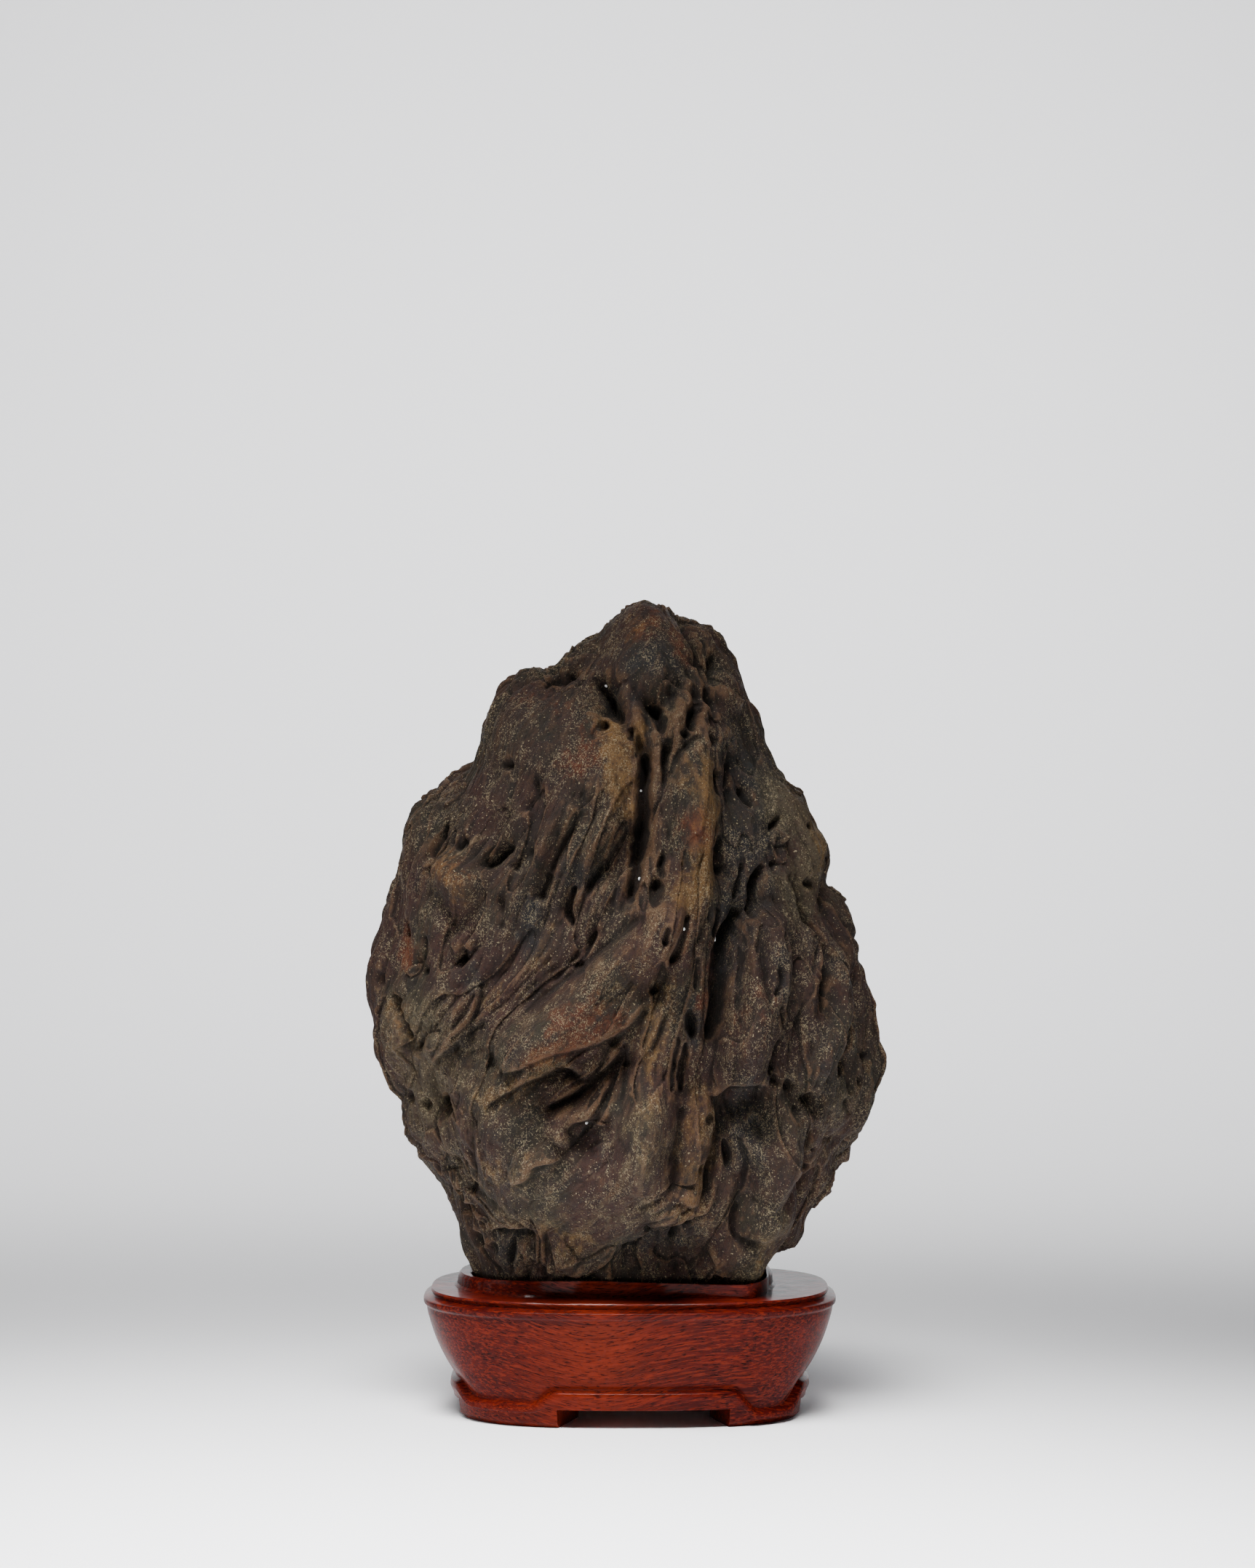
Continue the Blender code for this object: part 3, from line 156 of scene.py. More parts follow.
# Ledges: folds that rise slowly from one side and drop off on the other, which is on the
# right of the direction of travel.
LEDGES = {
    "front": [
        (22, 11, [(-62, 170), (-50, 177), (-38, 182), (-19, 187), (-4, 194), (4, 202),
                 (12, 216)]),                                      # crest of the arm
        (13, 6, [(-72, 150), (-59, 164), (-38, 172), (-29, 175), (-20, 170), (-14, 173),
                 (-8, 185), (-1, 198)]),                           # lower edge of the arm
        (12, 6, [(-40, 268), (-32, 282), (-26, 291), (-19, 304)]),
        (12, 5, [(-24, 260), (-13, 273), (-5, 283), (0, 294)]),
        (18, 6, [(-40, 158), (-24, 165), (-7, 179), (-2, 188)]),
        (12, 6, [(-28, 138), (-26, 147), (-19, 151), (-2, 149)]),
        (12, 6, [(-52, 121), (-44, 124), (-39, 131), (-28, 135)]),
        (16, 6, [(-92, 128), (-89, 117), (-77, 107), (-70, 99), (-61, 94), (-47, 92)]),
        (24, 7, [(-50, 80), (-33, 74), (-14, 77), (0, 88), (14, 97), (31, 105),
                 (40, 114), (43, 129)]),                            # lip of the bulge
        (12, 7, [(38, 162), (44, 161), (50, 166), (60, 167), (72, 164)]),
        (9, 5, [(58, 348), (50, 353), (41, 359)]),
        (8, 4, [(31, 346), (40, 342), (50, 339)]),
        (9, 5, [(70, 285), (75, 281), (80, 284)]),
        (8, 4, [(-83, 228), (-78, 232), (-72, 229)]),
        (12, 5, [(-86, 184), (-76, 195), (-71, 206), (-71, 217)]),
        (10, 4, [(-98, 172), (-88, 181), (-78, 189)])],
    "back": [
        (20, 6, [(60, 205), (35, 190), (5, 182), (-25, 168), (-50, 150)]),
        (17, 6, [(60, 122), (35, 100), (0, 92), (-35, 98), (-70, 118), (-92, 146)]),
        (14, 4, [(-15, 296), (-40, 300), (-60, 320)])],
    "left": [
        (14, 2, [(30, 168), (8, 158), (-18, 166)])],
    "right": [
        (14, 1.5, [(-26, 206), (0, 198), (24, 208)])]}

# Slots: steep-sided clefts and holes, shaded inside.
SLOTS = {
    "front": [
        (4.5, 9, [(-9, 355), (-7, 348), (-3, 341)]),
        (4, 9, [(13, 349), (16, 344), (18, 335)]),
        (4, 10, [(36, 347), (32, 341), (30, 335)]),
        (4.5, 8, [(40, 355), (42, 347), (44, 342)]),
        (2.6, 9, [(-88, 291), (-91, 285), (-93, 278), (-94, 273)]),
        (2.4, 9, [(-26, 260), (-28, 252), (-26, 243)]),
        (3.5, 7, [(6, 334), (8, 322)]),
        (5.5, 16, [(9, 324), (9, 308), (8, 292), (7, 279), (5, 269), (3, 257)]),
        (5, 7, [(-39, 359), (-32, 361), (-26, 362)]),
        (3, 9, [(21, 330), (20, 322), (19, 311)]),
        (4, 9, [(48, 284), (45, 276), (47, 268)]),
        (3, 9, [(61, 309), (62, 303), (63, 299)]),
        (4, 11, [(68, 271), (65, 262), (64, 253), (61, 246)]),
        (5.5, 19, [(57, 249), (51, 238), (46.5, 222), (45, 205), (42, 189)]),   # deep valley
        (3, 8, [(58, 272), (57, 263), (55, 256)]),
        (4.5, 10, [(31, 201), (32, 189)]),
        (2.6, 7, [(28, 185), (27, 164)]),
        (2.4, 6, [(24, 188), (22, 165)]),
        (4, 8, [(15, 262), (14, 252)]),
        (2.6, 6, [(18, 275), (17, 265)]),
        (3, 8, [(28, 245), (25, 230), (22, 225)]),
        (2.6, 6, [(34, 226), (33, 212)]),
        (2.6, 6, [(45, 250), (45, 237)]),
        (3, 6, [(18, 240), (18, 233)]),
        (3, 5, [(63, 241), (61, 229)]),
        (2.6, 5, [(73, 238), (73, 227)]),
        (7, 14, [(-92, 153), (-86, 152)]),
        (4, 7, [(-84, 108), (-79, 99)]),
        (4, 7, [(-74, 98), (-72, 94)]),
        (5, 9, [(-64, 92), (-56, 91), (-48, 91)]),
        (4, 6, [(-57, 87), (-58, 76)]),
        (4, 8, [(10, 97), (11, 95)]),
        (4, 8, [(30, 98), (30, 96)]),
        (3, 7, [(24, 91), (24, 82)]),
        (3.5, 11, [(89, 251), (94, 238), (98, 222), (95, 211), (94, 200)]),
        (3, 8, [(52, 330), (55, 322), (54, 311)]),
        (2.6, 7, [(96, 257), (99, 248)]),
        (2.6, 7, [(45, 290), (43, 279), (46, 271)]),
        (2.4, 6, [(76, 293), (73, 288)]),
        (3, 8, [(88, 142), (85, 126), (83, 110)]),
        (2.4, 6, [(105, 178), (104, 171)]),
        (2.6, 7, [(71, 203), (74, 194)]),
        (2.8, 7, [(72, 187), (70, 177), (70, 170)]),
        (2.6, 7, [(50, 137), (50, 125)]),
        (2.6, 5, [(55, 232), (55, 220)]),
        (2.6, 7, [(-14, 239), (-17, 231), (-20, 225)]),
        (4, 7, [(17, 223), (12, 212)]),
        (3, 6, [(52, 107), (51, 92)]),
        (4, 6, [(46, 73), (42, 71)])],
    "back": [
        (6.5, 18, [(-12, 340), (-18, 310), (-22, 280), (-20, 250), (-26, 222)]),
        (5, 13, [(48, 300), (44, 275), (50, 250), (47, 228)]),
        (4.5, 12, [(-62, 262), (-66, 240)]),
        (4, 9, [(88, 215), (92, 196)]),
        (5, 11, [(20, 150), (26, 138)]),
        (6, 10, [(-70, 98), (-55, 90)]),
        (3.5, 9, [(0, 216), (6, 202)]),
        (4, 10, [(66, 120), (60, 104)]),
        (3, 8, [(-92, 214), (-88, 200)])],
    "left": [
        (5, 12, [(8, 268), (12, 246), (8, 226)]),
        (4, 9, [(-34, 205), (-38, 188)]),
        (5, 10, [(22, 150), (20, 134)])],
    "right": [
        (5, 12, [(4, 262), (8, 240), (4, 220)]),
        (4, 9, [(-30, 230), (-32, 212)]),
        (4.5, 10, [(18, 172), (14, 154)])]}

# Creases: sharp-bottomed lines between rounded lobes.
CREASES = {
    "front": [
        (5, 8, [(23, 397), (29, 388), (34, 379), (38, 370), (41, 362), (41, 354)]),
        (5, 6, [(44, 375), (45, 366), (44, 357)]),
        (5, 8, [(-17, 363), (-12, 357), (-9, 351), (-8, 341)]),
        (3.5, 5, [(3, 339), (3, 331)]),
        (5, 7, [(35, 332), (28, 328), (23, 318), (19, 308)]),
        (5, 4, [(45, 317), (45, 303)]),
        (4, 6, [(50, 333), (52, 322), (54, 308), (53, 298)]),
        (3, 4, [(43, 255), (45, 244), (44, 236)]),
        (3, 4, [(40, 253), (38, 245), (35, 236), (33, 229), (33, 216)]),
        (3, 4, [(28, 245), (26, 236), (22, 229)]),
        (6, 5, [(14, 261), (14, 251)]),
        (3, 5, [(18, 275), (17, 266)]),
        (3, 4, [(-77, 284), (-80, 281), (-83, 278)]),
        (5, 8, [(-54, 282), (-59, 278), (-64, 273), (-72, 270)]),
        (5, 5, [(-43, 280), (-50, 274), (-55, 267)]),
        (5, 4, [(-84, 249), (-85, 240)]),
        (6, 5, [(-80, 228), (-76, 224)]),
        (4, 5, [(-71, 213), (-73, 206), (-78, 196), (-87, 190)]),
        (4, 4, [(-61, 258), (-59, 248), (-61, 238)]),
        (4, 7, [(-36, 269), (-39, 262), (-41, 253)]),
        (4, 5, [(-43, 315), (-42, 305), (-46, 299), (-47, 293)]),
        (4, 6, [(-107, 244), (-108, 235)]),
        (7, 9, [(14, 252), (2, 241), (-12, 230), (-22, 222), (-42, 207), (-54, 192)]),
        (3.5, 6, [(3, 200), (-2, 194), (-9, 183), (-14, 172), (-20, 168), (-28, 173),
                  (-38, 170), (-50, 166)]),                        # under the arm
        (4, 5, [(-1, 190), (-3, 180), (-14, 168), (-30, 158), (-38, 155)]),
        (4, 5, [(-1, 188), (1, 174)]),
        (3, 6, [(-3, 149), (-12, 151), (-20, 150), (-25, 147), (-26, 140)]),
        (3.5, 4, [(-97, 190), (-100, 185), (-104, 180)]),
        (4, 5, [(-65, 196), (-72, 192), (-83, 181), (-91, 175)]),
        (3.5, 5, [(-72, 119), (-73, 115), (-74, 111)]),
        (5, 5, [(-69, 156), (-71, 141), (-70, 127), (-72, 119)]),
        (4, 5, [(-2, 89), (1, 78)]),
        (5, 9, [(40, 162), (46, 148), (45, 137), (39, 119), (30, 107)]),
        (3.5, 8, [(27, 160), (25, 148), (23, 134), (18, 113)]),
        (3.5, 4, [(87, 245), (93, 235), (90, 224), (87, 211)]),
        (4, 5, [(81, 268), (85, 261), (91, 248), (95, 243)]),
        (3, 3, [(103, 251), (108, 239), (114, 226)]),
        (3.5, 5, [(64, 244), (62, 229), (63, 213), (67, 200)]),
        (4, 6, [(80, 236), (78, 214), (76, 196)]),
        (3, 6, [(110, 224), (112, 206), (106, 190), (104, 181)]),
        (3, 6, [(55, 228), (54, 216), (53, 202), (52, 187)]),
        (3, 5, [(67, 224), (68, 214), (66, 206)]),
        (3.5, 4, [(107, 157), (109, 146)]),
        (4.5, 9, [(87, 141), (86, 125), (85, 108), (80, 92), (75, 79)]),
        (4, 4, [(51, 158), (55, 142), (59, 123)]),
        (3.6, 5, [(53, 105), (52, 92), (63, 89)])],
    "back": [
        (5, 7, [(38, 378), (32, 352), (40, 330)]),
        (5, 7, [(-40, 352), (-46, 325), (-42, 300), (-50, 276)]),
        (5, 6, [(8, 300), (4, 270), (10, 240)]),
        (4, 5, [(28, 320), (26, 290), (30, 262)]),
        (5, 7, [(70, 330), (66, 300), (72, 270)]),
        (4, 5, [(86, 280), (90, 255)]),
        (6, 8, [(58, 198), (32, 182), (4, 174), (-24, 160), (-48, 142)]),
        (4, 5, [(-80, 300), (-86, 276), (-84, 250)]),
        (4, 5, [(-100, 260), (-104, 232)]),
        (5, 6, [(-40, 200), (-44, 172), (-38, 150)]),
        (4, 5, [(-76, 190), (-80, 165), (-74, 140)]),
        (4, 5, [(78, 170), (74, 146), (80, 124)]),
        (5, 6, [(100, 190), (96, 165)]),
        (4, 5, [(-8, 150), (-12, 128)]),
        (4, 5, [(38, 132), (30, 112)])],
    "left": [
        (5, 7, [(6, 305), (10, 285), (8, 268)]),
        (5, 6, [(2, 220), (8, 190), (4, 160), (10, 130)]),
        (4, 5, [(-44, 240), (-40, 214)]),
        (4, 5, [(38, 225), (42, 198), (38, 172)]),
        (4, 5, [(-16, 160), (-14, 134), (-20, 112)]),
        (4, 5, [(26, 118), (24, 98)])],
    "right": [
        (5, 7, [(2, 215), (6, 185), (2, 160), (6, 135)]),
        (4, 5, [(38, 240), (42, 212), (38, 186)]),
        (4, 5, [(-38, 180), (-36, 158)]),
        (4, 5, [(-10, 140), (-14, 118), (-8, 98)]),
        (4, 5, [(26, 140), (28, 116)]),
        (5, 6, [(0, 300), (6, 280)])]}

# Pits: a radius, a depth and one point.
PITS = {
    "front": [
        (3, 5, (-11, 338)), (3, 6, (27, 332)), (2, 4, (44, 357)), (2, 4, (54, 351)),
        (4, 3, (35, 379)), (3.5, 6, (41, 330)), (4, 9, (3, 256)), (3, 4, (-94, 266)),
        (10, 4, (-91, 245)), (3, 4, (-99, 219)), (3, 4, (-83, 312)), (4, 6, (-100, 152)),
        (3, 4, (-108, 155)), (3.5, 5, (-81, 127)), (4, 7, (-48, 91)), (3, 5, (36, 127)),
        (3, 5, (40, 150)), (2.5, 5, (75, 282)), (2.5, 5, (74, 272)),
        (2, 4, (82, 305)), (2, 4, (89, 288)), (3, 5, (72, 167)), (3, 5, (80, 164)),
        (3, 5, (87, 159)), (3, 5, (81, 152)), (5, 6, (105, 175)), (3, 4, (115, 165)),
        (3, 6, (88, 122)), (3, 5, (86, 109)), (3, 5, (81, 93)), (9, 6, (-18, 141)),
        (4, 7, (-80, 110)), (4, 7, (-75, 103)), (3, 5, (-68, 98)), (4, 6, (-74, 86)),
        (3.5, 5, (-66, 82)), (3, 4, (-57, 318)), (2, 4, (90, 133)), (2, 4, (94, 130)),
        (2, 4, (99, 135)), (2, 4, (102, 134))],
    "back": [
        (4, 7, (-34, 262)), (3, 5, (18, 232)), (4, 6, (58, 262)), (3, 5, (-72, 160)),
        (5, 7, (-14, 112)), (3, 5, (48, 166)), (4, 6, (70, 206)), (3, 5, (-96, 186)),
        (4, 6, (22, 346)), (3, 5, (-58, 340)), (4, 6, (92, 146)), (3, 5, (-40, 118))],
    "left": [
        (4, 6, (-24, 214)), (3, 5, (20, 206)), (4, 6, (-8, 146)), (3, 5, (30, 280))],
    "right": [
        (4, 6, (-22, 176)), (3, 5, (22, 196)), (4, 6, (8, 118)), (3, 5, (-34, 262))]}

# The grain of the stone. Each set of furrows has its spacing across and along the grain,
# and its depth; the flakes between them overlap like shingles.
FURROWS = [(22.0, 95.0, 4.4), (9.5, 55.0, 2.4)]
FURROW_STEEPNESS = 2.6          # over 1: furrows are narrower than the ridges between them
FURROW_SHARPNESS = 1.5          # over 1: furrows are sharper at the bottom than at the top
FLAKE_ACROSS, FLAKE_ALONG, FLAKE_STEP = 17.0, 80.0, 1.6
FLAKE_LAYERS = 2.6              # how many flakes lie over one another
FLAKE_SLOPE = 0.85              # share of a flake that slopes, before its edge drops off
LUMP_SIZE, LUMP_HEIGHT = 36.0, 4.5
GRAIN_WANDER, GRAIN_WANDER_SIZE = 6.0, 55.0
# How the marks stray from their drawn lines: how far, over what distance, and a seed.
MARK_WANDERS = [(2.4, 16.0, 1), (0.7, 5.5, 41)]
GRAIN_MEAN = 2.6                # the outline is drawn over the ridges, this far out
COMB_ANGLES = [30, 50, 70, 90, 110, 130]     # directions, degrees from +X, that are blended

# The way the grain runs: (x, z, degrees from +X), seen from the front.
GRAIN = {
    "front": [
        (0, 385, 62), (30, 380, 112), (45, 350, 105), (10, 350, 80), (-30, 350, 70),
        (-60, 330, 78), (-30, 315, 82), (-90, 285, 78), (-60, 280, 52), (-30, 285, 66),
        (-110, 240, 80), (-85, 245, 60), (-50, 245, 70), (-25, 250, 72), (-8, 225, 50),
        (-110, 195, 62), (-80, 190, 48), (-55, 195, 56), (-30, 200, 38), (-5, 205, 42),
        (-20, 178, 38), (-110, 160, 85), (-85, 135, 118), (-65, 165, 58), (-40, 150, 36),
        (-50, 120, 66), (-20, 130, 50), (-20, 95, 40), (-65, 95, 130), (15, 105, 35),
        (30, 330, 96), (33, 290, 91), (30, 250, 84), (20, 210, 80), (13, 165, 87),
        (9, 125, 88), (35, 130, 92), (15, 80, 88), (55, 320, 100), (75, 300, 100),
        (95, 285, 108), (60, 260, 96), (85, 250, 106), (108, 240, 108), (50, 215, 80),
        (70, 205, 90), (88, 220, 98), (105, 200, 92), (85, 180, 90), (112, 165, 78),
        (60, 160, 96), (90, 140, 88), (60, 120, 84), (55, 85, 70), (78, 95, 72)],
    "back": [
        (0, 370, 90), (40, 340, 98), (-40, 330, 84), (-80, 290, 80), (0, 290, 92),
        (70, 290, 104), (-95, 220, 88), (-40, 230, 84), (20, 230, 74), (90, 220, 96),
        (-80, 150, 100), (-30, 160, 62), (30, 165, 52), (90, 150, 84), (-50, 100, 112),
        (0, 110, 60), (60, 105, 76)],
    "left": [(0, 250, 90), (0, 180, 90), (0, 110, 96)],
    "right": [(0, 260, 90), (0, 180, 90), (0, 120, 84)]}
GRAIN_REACH = 14.0              # how far each of those directions holds

CALM_CORE = 0.33                # a calm place is calmest over this share of its radius
# Places worn smoother than the rest, on the front: (x, z, radius, share of the grain kept).
CALM = [
    (5, 380, 36, 0.12), (-40, 335, 40, 0.2), (-15, 320, 24, 0.3), (-72, 300, 25, 0.4),
    (0, 228, 24, 0.3), (-30, 198, 30, 0.25), (-45, 145, 40, 0.25), (-15, 115, 40, 0.2),
    (-55, 115, 26, 0.3), (65, 90, 28, 0.3), (64, 208, 24, 0.35), (33, 285, 18, 0.5),
    (-80, 262, 18, 0.3), (-100, 240, 20, 0.4), (35, 135, 12, 0.4), (8, 150, 18, 0.4)]

# ---------------------------------------------------------------- driving sizes, stand
STAND_X = 2.0                   # the stand stands a little right of the stone's middle
SQUARENESS = 2.7                # over 2: the plan is boxier than an ellipse
ARCH_HEIGHT = 9.0               # underside of the block, over the floor
ARCH_FRONT = (-33.0, 51.0)      # x of the front and back openings, at the outside
ARCH_NARROWING = 15.0           # each opening's walls close in by this towards the middle
ARCH_END = 22.0                 # half the width of the openings at the two ends
BEAD_DROP = (6.5, 10.5)         # how far the skirt's bead steps down, left and right feet
BEAD_STEP = 13.0                # length of the curve in which it does so
OPENING_STRAIGHT = 50.0         # the front opening starts to narrow this far from the middle
OPENING_WAIST = 8.0             # half the length of its narrow middle
CUT_PAST_X, CUT_PAST_Y, CUT_PAST_Z = 110.0, 70.0, 5.0    # the openings run out past the block

# From the feet up: height, half-width, half-depth, and how far the ring follows the step
# of the bead over the feet.
STAND_RINGS = [
    (0.0, 83.5, 49.0, 0.0),
    (2.5, 86.0, 51.0, 0.0),
    (10.5, 87.0, 51.8, 0.5),
    (14.0, 88.6, 52.8, 1.0),
    (17.0, 88.2, 52.6, 1.0),
    (18.6, 85.6, 49.8, 1.0),
    (27.0, 90.8, 53.6, 0.5),
    (37.0, 95.6, 57.2, 0.0),
    (48.0, 99.2, 60.0, 0.0),
    (53.4, 100.2, 60.8, 0.0),
    (54.6, 101.6, 62.0, 0.0),
    (57.0, 101.6, 62.0, 0.0),
    (57.9, 98.6, 59.4, 0.0),
    (58.7, 96.8, 57.6, 0.0),
    (60.6, 98.2, 59.2, 0.0),
    (61.4, 97.4, 58.4, 0.0)]
# The collar round the stone's foot: height, and distance out from the stone's side.
COLLAR_RINGS = [(61.4, 6.2), (62.8, 4.7), (67.2, 4.4), (68.8, 3.0)]
COLLAR_PLAN_HEIGHT = 67.0       # the collar follows the stone's section at this height
COLLAR_X = -4.5                 # the middle of that section
COLLAR_FARTHEST = 110.0         # its side is nearer to that middle than this
COLLAR_SHARPNESS = 0.25         # how exactly the side is found
# The lobes and grooves carved in the collar: degrees from +X, half-width in degrees, and
# how far out.
COLLAR_LOBES = [
    (-140.0, 10.0, 2.4), (-124.0, 7.0, -1.4), (-42.0, 5.0, -1.2), (-33.0, 8.0, 1.5),
    (180.0, 26.0, 3.4), (0.0, 22.0, -1.0), (142.0, 12.0, 1.8), (60.0, 16.0, 1.4)]
# Its edge rises and falls: how many times round, how far, and from which angle.
COLLAR_WAVES, COLLAR_WAVE_UP, COLLAR_WAVE_TURN = 3, 0.6, 1.0
COLLAR_LEVEL_BELOW = 63.0       # the rings under this height are level

# ---------------------------------------------------------------- sizes of the looks
STONE_LEVEL = 9     # subdivisions of the ball it is shaped from
STONE_TRIANGLES = 196000
FRONT_CROWDING = 0.22           # how far the mesh is crowded towards the front
# The finest furrows: spacing across and along the grain, and depth. Calm places keep a
# larger share of them than of the rest.
FINE_FURROWS = [(4.8, 24.0, 1.15), (2.5, 12.0, 0.6)]
FINE_KEPT = 0.45
THREAD_DIRECTIONS = (35.0, 75.0, 115.0)  # of the streaks in its finish, degrees from +X
STREAK_ACROSS, STREAK_ALONG = 2.4, 22.0  # coloured streaks in the stone
CREVICE_ROUNDS, VALLEY_ROUNDS = 10, 70   # how widely the relief is averaged to find them
CREVICE_DEPTH, VALLEY_DEPTH = 0.55, 2.6  # depth under that average that counts in full
STAIN_WANDER, STAIN_WANDER_SIZE = 5.0, 11.0
STAIN_FADE = 2.3                # how far a stain fades out, in half-widths

# Stains on the front of the stone: a half-width, a strength and the points it follows.
STAINS = {
    "ochre": [
        (6, 0.6, [(30, 318), (31, 306)]),
        (6, 0.45, [(6, 384), (2, 374)]),
        (7, 0.5, [(-66, 160), (-50, 168), (-34, 178)]),
        (8, 0.45, [(-112, 200), (-104, 180)]),
        (6, 1.0, [(-8, 340), (-4, 328), (-3, 312), (0, 300)]),
        (4, 1.0, [(7, 338), (4, 328)]),
        (7, 1.0, [(39, 314), (36, 301), (38, 290)]),
        (8, 0.9, [(37, 273), (33, 262), (28, 254)]),
        (8, 0.8, [(95, 285), (97, 275)]),
        (7, 0.6, [(-89, 272), (-84, 266), (-80, 258)]),
        (5, 0.4, [(-50, 122), (-45, 128), (-38, 133)]),
        (10, 0.55, [(-36, 92), (-26, 92)]),
        (4, 0.7, [(13, 202), (12, 186), (11, 170)]),
        (10, 0.6, [(35, 156), (32, 134), (27, 110)]),
        (7, 0.45, [(20, 216), (14, 180), (9, 140)]),
        (6, 0.5, [(1, 228), (-2, 214), (-12, 204)]),
        (8, 0.5, [(70, 90), (66, 76)]),
        (6, 0.5, [(-36, 240), (-42, 226)]),
        (6, 0.45, [(-62, 210), (-68, 206)]),
        (9, 0.4, [(-60, 128), (-66, 118)]),
        (4, 0.6, [(43, 140), (38, 122)])],
    "rust": [
        (8, 0.6, [(13, 388), (7, 378)]),
        (5, 0.7, [(25, 379), (27, 370)]),
        (9, 0.55, [(-14, 332), (-20, 318)]),
        (8, 0.9, [(32, 290), (34, 282)]),
        (5, 1.0, [(-107, 236), (-106, 222)]),
        (7, 0.55, [(-84, 268), (-79, 261)]),
        (4.5, 0.8, [(-42, 179), (-20, 190), (-5, 198)]),
        (8, 0.7, [(-27, 196), (-14, 203)]),
        (4, 0.8, [(46, 234), (42, 218), (38, 204)]),
        (8, 0.4, [(-50, 352), (-30, 346)]),
        (9, 0.35, [(56, 226), (60, 200), (58, 186)]),
        (6, 0.4, [(-108, 205), (-112, 190)]),
        (8, 0.35, [(30, 240), (28, 226)]),
        (7, 0.35, [(-18, 126), (-8, 120)]),
        (6, 0.4, [(104, 186), (98, 172)])],
    "umber": [
        (24, 1.0, [(69, 240), (67, 215), (60, 182)]),
        (22, 0.5, [(-62, 332), (-40, 318), (-30, 300)]),
        (16, 0.5, [(-84, 300), (-70, 290)]),
        (18, 0.6, [(-52, 286), (-38, 262), (-26, 236)]),
        (16, 0.6, [(6, 376), (20, 360)]),
        (16, 0.5, [(100, 216), (96, 190)]),
        (14, 0.6, [(70, 120), (60, 96)]),
        (12, 0.5, [(22, 310), (22, 280)])],
    "slate": [
        (22, 0.8, [(60, 320), (64, 290), (60, 266)]),
        (18, 0.5, [(97, 246), (101, 214), (98, 186)]),
        (16, 0.45, [(86, 150), (84, 120)]),
        (6, 0.7, [(68, 226), (70, 210)]),
        (16, 0.4, [(52, 360), (58, 340)]),
        (10, 0.8, [(3, 367), (19, 368)]),
        (7, 0.9, [(-6, 354), (3, 353)]),
        (7, 0.8, [(-26, 265), (-18, 268)]),
        (8, 1.0, [(-45, 247), (-46, 234)]),
        (9, 1.0, [(54, 250), (49, 236), (46, 220)]),
        (9, 0.8, [(83, 254), (88, 250)]),
        (11, 0.8, [(60, 162), (56, 148), (56, 132)]),
        (8, 0.9, [(-58, 88), (-60, 78)]),
        (7, 0.8, [(-76, 222), (-73, 214)]),
        (9, 0.6, [(88, 170), (98, 166)]),
        (14, 0.9, [(4, 88), (24, 90)]),
        (9, 0.6, [(-19, 142), (-14, 140)]),
        (7, 0.9, [(32, 204), (33, 190)]),
        (8, 0.6, [(56, 304), (57, 288)])],
    "crust": [
        (15, 1.0, [(80, 300), (94, 286), (92, 268), (86, 258)]),
        (14, 0.7, [(72, 96), (66, 78)]),
        (14, 0.5, [(104, 152), (96, 128)]),
        (22, 0.9, [(-106, 190), (-98, 158)]),
        (16, 0.6, [(-84, 172), (-78, 150)]),
        (18, 0.55, [(-50, 110), (-24, 98), (-4, 110)]),
        (14, 0.45, [(-100, 222), (-92, 206)]),
        (12, 0.6, [(8, 150), (6, 130)])]}

# Thin pale veins, drawn on the front: (x, z) at both ends.
VEINS = [((-17, 128), (11, 115)), ((-100, 215), (-80, 206)), ((-71, 284), (-88, 269))]
VEIN_WIDTH = 0.55

GRIT_PER_SQUARE_METRE = 700.0  # pale grains lodged where the stone is hollow
GRIT_RADIUS = 0.8
GRIT_SEED = 5

# The figure of the stand's wood: where its nested curves hang, how deep, how wide.
FIGURE_X, FIGURE_SAG, FIGURE_WIDTH = -14.0, 11.0, 34.0

STAND_POINTS = 288              # round the stand's plan
BODY_STEPS = 8                  # rings between each two of the body's
EDGE_ROUND = 0.6                # radius of the mouldings' edges
ROUND_STEPS = 4
FIRST_BODY_RING, LAST_BODY_RING = 5, 9
SEAT_EASED = 5                  # the seat is eased over this many points each way
SEAT_CLEARANCE = 0.45           # between the stone and the inside of the collar
COLLAR_WALL = 1.4               # the collar is nowhere thinner than this
SEAT_RINGS = [68.9, 68.2, 64.0, 60.0, 53.6]

# The camera: where it stands in millimetres, the lens, and the size of the picture.
CAMERA_AT = (0.9, -1496.3, 308.8)
PICTURE_HEIGHT = 2156
FOCAL_PIXELS = 4165
SENSOR = 36.0

FLOOR_WIDTH, FLOOR_FRONT, FLOOR_BACK = 4400.0, -2400.0, 1300.0
SWEEP_RADIUS, WALL_HEIGHT = 450.0, 2600.0


def smoothstep(value):
    """0 below 0, 1 above 1, and a smooth climb between."""
    value = np.clip(value, 0.0, 1.0)
    return value * value * (3.0 - 2.0 * value)


def smooth_curve(points, steps, closed=False):
    """A Catmull-Rom curve through the points, with some steps between each two."""
    points = np.asarray(points, dtype=float)
    if closed:
        padded = np.vstack([points[-1], points, points[:2]])
    else:
        padded = np.vstack([2 * points[0] - points[1], points, 2 * points[-1] - points[-2]])
    out = []
    for before, start, end, after in zip(padded, padded[1:], padded[2:], padded[3:]):
        for share in np.arange(steps) / steps:
            out.append(0.5 * (2 * start + (end - before) * share
                              + (2 * before - 5 * start + 4 * end - after) * share ** 2
                              + (3 * start - before - 3 * end + after) * share ** 3))
    if not closed:
        out.append(points[-1])
    return np.array(out)


